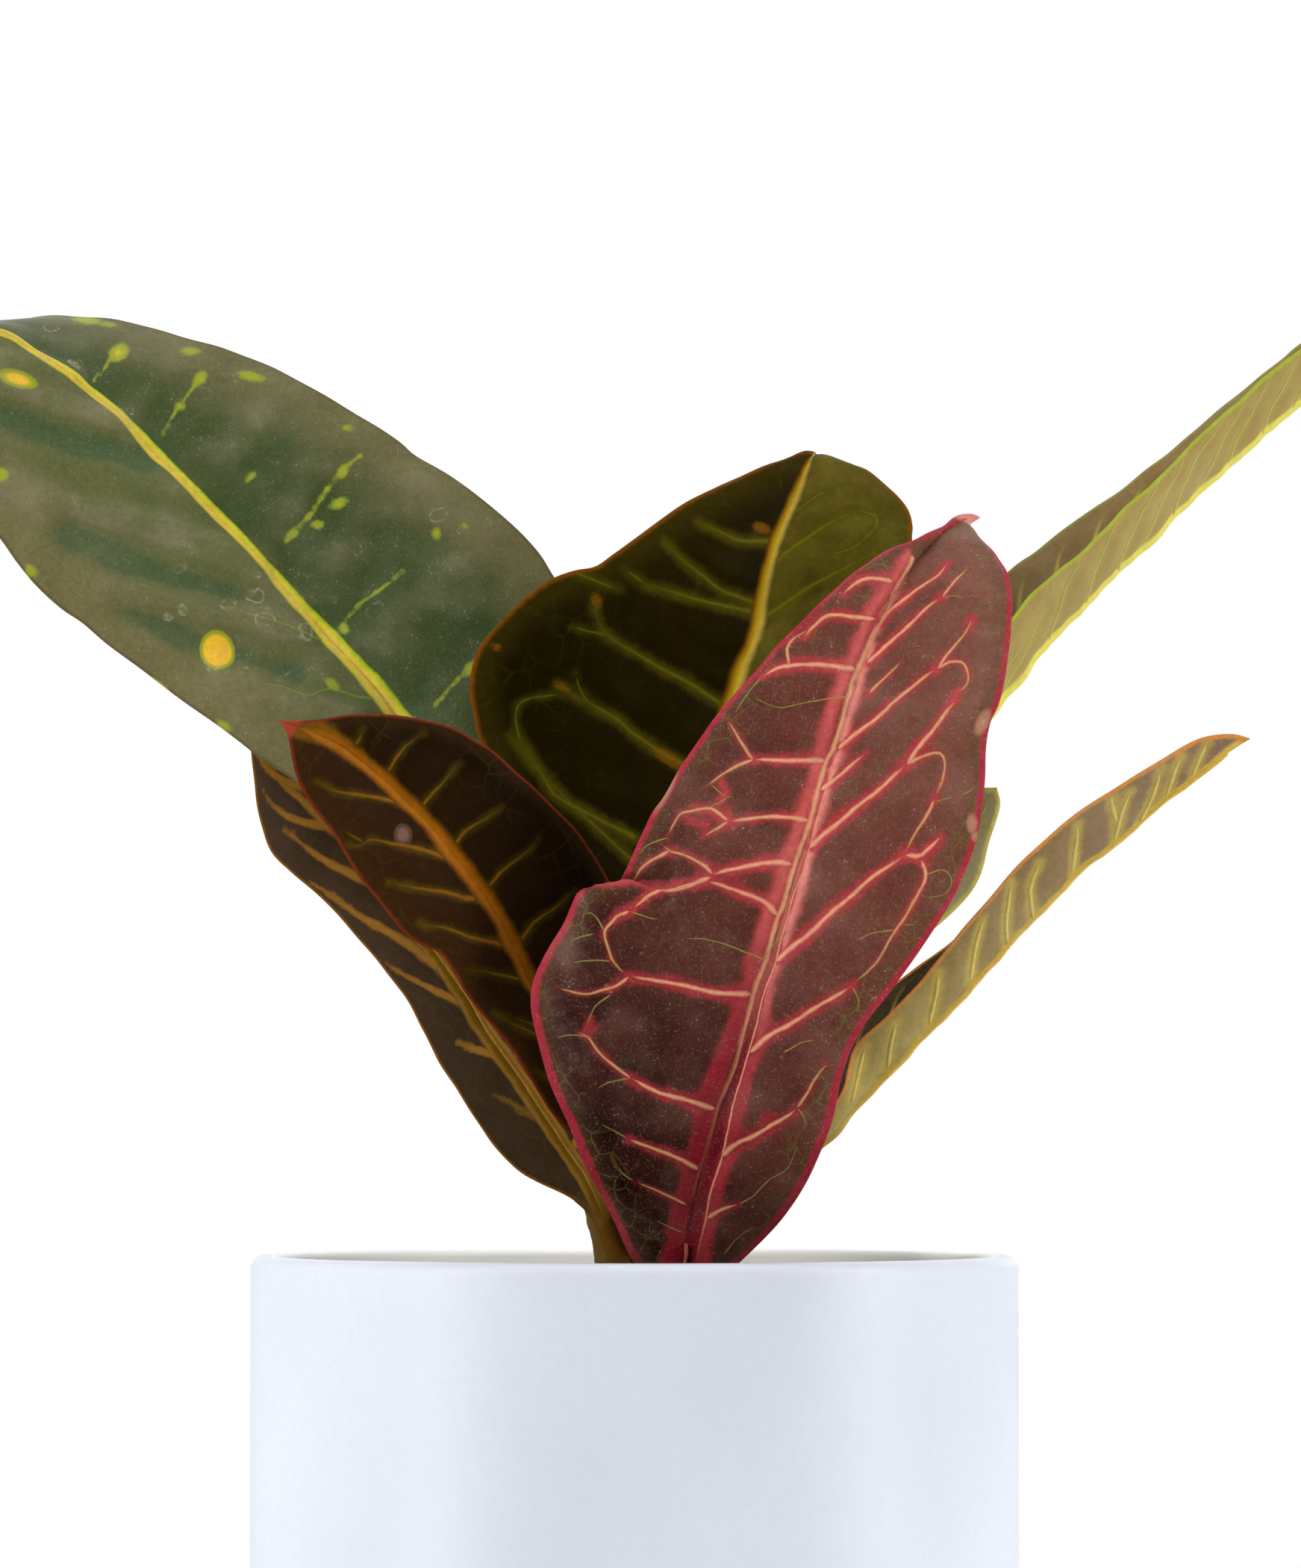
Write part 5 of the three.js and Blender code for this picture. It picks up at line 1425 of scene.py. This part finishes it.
def arc(cx, cz, radius, start, end, count=8):
    return [(cx + radius * math.cos(math.radians(a)), cz + radius * math.sin(math.radians(a)))
            for a in np.linspace(start, end, count)]


def lathe(name, profile, sides, materials):
    angles = circle(sides)
    rings = np.array([[[r * math.cos(a), r * math.sin(a), z] for a in angles]
                      for r, z in profile if r > 0])
    return make_mesh(name, *tube(rings, [0, 0, profile[0][1]], [0, 0, profile[-1][1]]), materials)


def glaze():
    g = Graph("pot_glaze")
    cloud = g.noise(14, 3, 0.5)
    fine = g.noise(600, 3, 0.6)
    colour = g.mix(g.line(0.3, 0.7, cloud), (202, 207, 217), (214, 218, 228))
    colour = g.mix(g.line(0.35, 0.75, fine, 0.0, 0.25), colour, (194, 199, 211))
    pits = g.step(0.1, 0.04, g.voronoi(420))
    gate = g.step(0.66, 0.72, g.noise(70, 1, 0.5))
    colour = g.mix(g.times(g.times(pits, gate), 0.35), colour, (170, 172, 178))

    # The inside is painted whiter, as painted light on its shaded inner wall
    parts = g.node("ShaderNodeSeparateXYZ", {0: g.place}).outputs
    out = g.math("SQRT", g.add(g.times(parts["X"], parts["X"]), g.times(parts["Y"], parts["Y"])))
    colour = g.mix(g.step(0.0625, 0.0605, out), colour, (246, 246, 244))
    g.bump(g.add(g.noise(220, 3, 0.5), g.times(fine, 0.25)), 0.06)
    return g.finish(colour, g.line(0.3, 0.7, cloud, 0.36, 0.48), 0.4)


# From the middle of the underside round the rim to the middle of the floor
pot_profile = [
    (0, 0), (FOOT_RADIUS, 0), (FOOT_RADIUS + 2, 0.35),
    *arc(POT_RADIUS - POT_CORNER, POT_CORNER, POT_CORNER, -90, 0),
    *((POT_RADIUS, z) for z in np.linspace(8, POT_HEIGHT - 8, 14)),
    *arc(POT_RADIUS - RIM_OUTSIDE, POT_HEIGHT - RIM_OUTSIDE, RIM_OUTSIDE, 0, 90, 10),
    *arc(INNER_RADIUS + RIM_INSIDE, POT_HEIGHT - RIM_INSIDE, RIM_INSIDE, 90, 180, 8),
    *((INNER_RADIUS, z) for z in np.linspace(POT_HEIGHT - 6, POT_FLOOR + POT_CORNER + 2, 12)),
    *arc(INNER_RADIUS - POT_CORNER, POT_FLOOR + POT_CORNER, POT_CORNER, 0, -90, 6),
    (20, POT_FLOOR), (0, POT_FLOOR),
]
pot = lathe("pot_fine", pot_profile, POT_SIDES, [glaze()])
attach(pot, "root")
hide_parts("pot")


def plastic():
    g = Graph("nursery_plastic")
    broad = g.noise(45, 3, 0.6)
    colour = g.mix(broad, (34, 32, 31), (52, 49, 47))
    colour = g.mix(g.times(g.step(0.55, 0.75, g.noise(120, 4, 0.6)), 0.4), colour, (92, 80, 68))
    g.bump(g.noise(900, 3, 0.6), 0.12)
    return g.finish(colour, g.line(0.2, 0.8, broad, 0.4, 0.65))


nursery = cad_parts["nursery_pot"]
nursery.data.materials.clear()
nursery.data.materials.append(plastic())


# Soil: a finer uneven surface over the root ball, with bark and perlite on it
SOIL_TOP = 103.0
SOIL_RINGS = 70
SOIL_SIDES = 144
# Nursery pot: radius and height of its base and of its rim, and its wall
NURSERY_BASE = (44.0, 6.3)
NURSERY_RIM = (56.0, 117)
NURSERY_WALL = 1.5
# Chips lie within the first radius and outside the second, clear of the stem
CHIPS_RADIUS = 50.0
STEM_CLEARANCE = 7.5
CHIP_POINTS = 14
CHIP_SHARP = 35


def soil_radius(z):
    share = (z - NURSERY_BASE[1]) / (NURSERY_RIM[1] - NURSERY_BASE[1])
    return lerp(NURSERY_BASE[0], NURSERY_RIM[0], share) - NURSERY_WALL


def soil_height(x, y):
    return SOIL_TOP + 1.1 * (0.5 * np.sin(x * 0.31 + 1.3) * np.cos(y * 0.27 - 0.4)
                             + 0.35 * np.sin(x * 0.63 - y * 0.52 + 2.1)
                             + 0.15 * np.cos(x * 0.9 + y * 1.1))


def peat():
    g = Graph("peat")
    lumps = g.noise(420, 5, 0.7)
    grains = g.voronoi(700)
    colour = g.shades(g.line(0.3, 0.72, lumps), ((24, 16, 11), (52, 36, 24), (92, 66, 44)))
    colour = g.mix(g.step(0.35, 0.1, grains), colour, (38, 26, 18))
    colour = g.mix(g.times(g.step(0.7, 0.78, g.noise(900, 2, 0.5)), 0.6), colour, (128, 100, 70))
    g.bump(g.add(lumps, g.times(grains, 0.6)), 0.9, 0.0012)
    return g.finish(colour, 0.95)


def soil_surface():
    rng = np.random.default_rng(7)
    phases = rng.uniform(0, 6.28, (9, 2))
    waves = rng.uniform(-1, 1, (9, 2))
    edge = soil_radius(SOIL_TOP) - 0.1
    bottom = NURSERY_BASE[1] + 1.8
    low = soil_radius(bottom) - 0.3
    angles = circle(SOIL_SIDES)
    rings = [[[low * math.cos(a), low * math.sin(a), bottom] for a in angles]]
    for k in range(SOIL_RINGS):
        r = edge * (1 - k / SOIL_RINGS)
        x, y = r * np.cos(angles), r * np.sin(angles)
        z = soil_height(x, y)
        for (p, q), (u, v) in zip(phases, waves):
            z = z + 0.16 * np.sin(x * u * 2.6 + p) * np.cos(y * v * 2.6 + q)
        z = z + rng.uniform(-0.25, 0.25, SOIL_SIDES) * (1 if k else 0)
        rings.append(np.stack([x, y, z], 1))
    return make_mesh("soil_fine", *tube(np.array(rings), [0, 0, bottom], [0, 0, soil_height(0, 0)]),
                     [peat()])


soil = soil_surface()
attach(soil, "root")
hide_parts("soil")


def chips(name, count, size, flat, seed, material):
    """Irregular hulls lying on the soil, part sunk in it."""
    rng = np.random.default_rng(seed)
    points, faces = [], []
    for _ in range(count):
        angle, r = rng.uniform(0, 2 * math.pi), CHIPS_RADIUS * math.sqrt(rng.uniform(0.02, 1))
        x, y = r * math.cos(angle), r * math.sin(angle)
        if math.hypot(x, y) < STEM_CLEARANCE:
            continue
        bm = bmesh.new()
        s = rng.uniform(*size)
        scale = np.array([s * rng.uniform(0.8, 1.6), s * rng.uniform(0.5, 0.9), s * flat])
        cloud = unit(rng.normal(size=(CHIP_POINTS, 3))) * rng.uniform(0.8, 1, (CHIP_POINTS, 1)) * scale
        for p in cloud:
            bm.verts.new(p.tolist())
        hull = bmesh.ops.convex_hull(bm, input=bm.verts)
        spare = {v for v in hull["geom_interior"] + hull["geom_unused"]
                 if isinstance(v, bmesh.types.BMVert) and v.is_valid}
        bmesh.ops.delete(bm, geom=list(spare), context="VERTS")
        bmesh.ops.bevel(bm, geom=list(bm.edges), offset=s * 0.12, segments=1, affect="EDGES")
        bm.verts.index_update()
        turn, tilt = rng.uniform(0, 6.28), rng.uniform(-0.35, 0.35)
        c, d = math.cos(turn), math.sin(turn)
        lift = float(soil_height(x, y)) + s * flat * 0.25
        start = len(points)
        for v in bm.verts:
            a, b, h = v.co
            h += a * tilt
            points.append([x + a * c - b * d, y + a * d + b * c, lift + h])
        faces += [tuple(start + v.index for v in f.verts) for f in bm.faces]
        bm.free()
    obj = make_mesh(name, points, faces, [material])
    obj.data.set_sharp_from_angle(angle=math.radians(CHIP_SHARP))
    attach(obj, "root")


def bark():
    g = Graph("bark_chips")
    grain = g.node("ShaderNodeTexWave", {"Vector": g.place, "Scale": 240.0, "Distortion": 9.0,
                                         "Detail": 4.0}).outputs["Fac"]
    lump = g.noise(260, 4, 0.6)
    colour = g.shades(g.line(0.3, 0.8, lump), ((48, 30, 18), (98, 64, 38), (140, 98, 62)))
    colour = g.mix(g.times(grain, 0.4), colour, (40, 25, 16))
    g.bump(g.add(grain, lump), 0.5, 0.0004)
    return g.finish(colour, 0.85)


def perlite():
    g = Graph("perlite")
    foam = g.voronoi(1500)
    colour = g.mix(g.step(0.2, 0.5, foam), (236, 232, 222), (196, 188, 172))
    g.bump(foam, 0.6, 0.0004)
    return g.finish(colour, 0.9)


chips("soil_bark", 210, (1.1, 3.4), 0.45, 11, bark())
chips("soil_perlite", 60, (0.7, 1.5), 0.8, 12, perlite())


# Stem: across, down, depth and radius; then its leaf scars: across, down and turn in degrees
STEM = [
    (848, 2150, 0, 4.6), (848, 1860, 0, 4.8), (848, 1800, 0, 4.7), (840, 1740, 0, 4.6),
    (832, 1682, 0, 4.5), (814, 1608, 0.5, 4.2), (801, 1560, 1, 3.6), (793, 1530, 1, 2.6),
    (789, 1505, 1, 1.5), (787, 1485, 1, 0.5),
]
SCARS = [(848, 1835, 20), (846, 1770, 200), (840, 1725, 110), (833, 1690, 300), (822, 1640, 60),
         (812, 1595, 170)]
STEM_SIDES = 64


def stem_bark():
    g = Graph("stem_bark")
    grain = g.node("ShaderNodeMapping", {"Vector": g.place, "Scale": (1.0, 1.0, 0.22)}).outputs[0]
    cork = g.noise(900, 4, 0.65, grain)
    old = g.step(0.55, 0.25, g.add(g.attr("along"), g.times(g.centred(g.noise(90, 3, 0.5)), 0.3)))
    green = g.mix(cork, (78, 56, 12), (108, 82, 26))
    brown = g.mix(cork, (70, 48, 18), (104, 74, 34))
    colour = g.mix(old, green, brown)
    colour = g.mix(g.times(g.step(0.62, 0.72, g.noise(320, 2, 0.5)), 0.35), colour, (124, 100, 66))
    g.bump(g.add(cork, g.times(g.noise(260, 3, 0.5, grain), 0.8)), 0.6, 0.0004)
    return g.finish(colour, g.line(0, 1, old, 0.5, 0.82), 0.1)


def make_stem():
    """The stem as rings, with leaf scars, fine ribs and a pointed bud."""
    centres = smooth_line([seen(x, y, d) for x, y, d, _ in STEM], 16)
    shares = np.linspace(0, 1, len(centres))
    radii = np.interp(shares, np.linspace(0, 1, len(STEM)), [r for *_, r in STEM])
    angles = circle(STEM_SIDES)
    rings = []
    for c, r in zip(centres, radii):
        ring = np.full(STEM_SIDES, r)
        thick = min(1, r / 3)
        for x, y, turn in SCARS:
            near = math.exp(-((c[2] - seen(x, y, 0)[2]) / 0.9) ** 2)
            ring = ring + 0.42 * near * (0.55 + 0.45 * np.cos(angles - math.radians(turn))) * thick
        ring = ring + 0.07 * np.sin(angles * 9 + c[2] * 0.8) * thick
        ring = ring + 0.05 * np.sin(angles * 17 - c[2] * 1.9) * thick
        rings.append([[c[0] + q * math.cos(a), c[1] + q * math.sin(a), c[2]]
                      for a, q in zip(angles, ring)])
    obj = make_mesh("stem_fine", *tube(np.array(rings), centres[0], centres[-1]), [stem_bark()])
    set_values(obj.data, "along", [*np.repeat(shares, STEM_SIDES), 0, 1])
    return obj


stem = make_stem()
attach(stem, "root")
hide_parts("stem")


# Stage: a pale floor that fades out, soft light from both sides, and a white surround
FLOOR_RADIUS = 900
FLOOR_SIDES = 96
SENSOR = 36
# Lights: place, size, power and colour; all of them look at one point
AIM = (0.0, 0.0, 0.17)
LIGHTS = {
    "light_left": ((-1.34, -0.83, 0.65), (0.6, 1.5), 22.5, (1.0, 0.985, 0.96)),
    "light_right": ((1.5, -0.48, 0.6), (0.6, 1.5), 20, (1.0, 0.99, 0.97)),
    "light_front": ((0.1, -1.3, 1.2), (0.5, 0.3), 2.2, (1.0, 0.99, 0.97)),
    "light_top": ((0.1, 0.2, 1.5), (1.2, 1.2), 4.5, (1.0, 1.0, 1.0)),
    "light_back": ((0.2, 1.5, 0.7), (1.6, 1.0), 5, (1.0, 1.0, 1.0)),
}


def floor_material():
    g = Graph("floor")
    far = g.node("ShaderNodeVectorMath", {0: g.place}, operation="LENGTH").outputs["Value"]
    clear = g.node("ShaderNodeBsdfTransparent").outputs[0]
    mixed = g.node("ShaderNodeMixShader", {0: g.step(0.35, 0.86, far), 1: g.bsdf.outputs[0], 2: clear})
    g.put(g.out.inputs[0], mixed.outputs[0])
    return g.finish(g.mix(g.noise(300, 3, 0.5), (236, 236, 236), (242, 242, 242)), 0.7, 0.2)


def face_along(obj, way):
    """Turns a light or a camera so that it looks a given way."""
    obj.rotation_euler = Vector(way).to_track_quat("-Z", "Y").to_euler()


edge = [[FLOOR_RADIUS * math.cos(a), FLOOR_RADIUS * math.sin(a), 0] for a in circle(FLOOR_SIDES)]
floor = make_mesh("floor", edge, [list(range(FLOOR_SIDES))], [floor_material()])

for name, (place, size, power, colour) in LIGHTS.items():
    lamp = bpy.data.lights.new(name, "AREA")
    lamp.shape = "RECTANGLE"
    lamp.size, lamp.size_y = size
    lamp.energy = power
    lamp.color = colour
    light = place_object(name, lamp)
    light.location = place
    light.visible_camera = False
    face_along(light, Vector(AIM) - Vector(place))

# The surround is white to look at; as light it is dim in front and bright at the sides and back
world = bpy.data.worlds.new("surround")
bpy.context.scene.world = world
g = Nodes(world)
way = g.node("ShaderNodeTexCoord").outputs["Generated"]
power = g.step(-0.95, 0.2, g.node("ShaderNodeSeparateXYZ", {0: way}).outputs["Y"], 0.07, 0.72)
soft = g.node("ShaderNodeBackground", {"Color": (0.93, 0.965, 1.0, 1), "Strength": power})
white = g.node("ShaderNodeBackground", {"Color": (1, 1, 1, 1), "Strength": 1.0})
shown = g.node("ShaderNodeLightPath").outputs["Is Camera Ray"]
mixed = g.node("ShaderNodeMixShader", {0: shown, 1: soft.outputs[0], 2: white.outputs[0]})
g.node("ShaderNodeOutputWorld", {0: mixed.outputs[0]})

scene = bpy.context.scene
scene.view_settings.view_transform = "Standard"
scene.view_settings.look = "None"

lens = bpy.data.cameras.new("camera")
lens.sensor_width = SENSOR
lens.lens = SENSOR * VIEW_LENGTH / VIEW_HEIGHT
lens.clip_start = 0.01
lens.clip_end = 20
camera = place_object("camera", lens)
camera.location = Vector(EYE * MM)
face_along(camera, LOOK)
scene.camera = camera
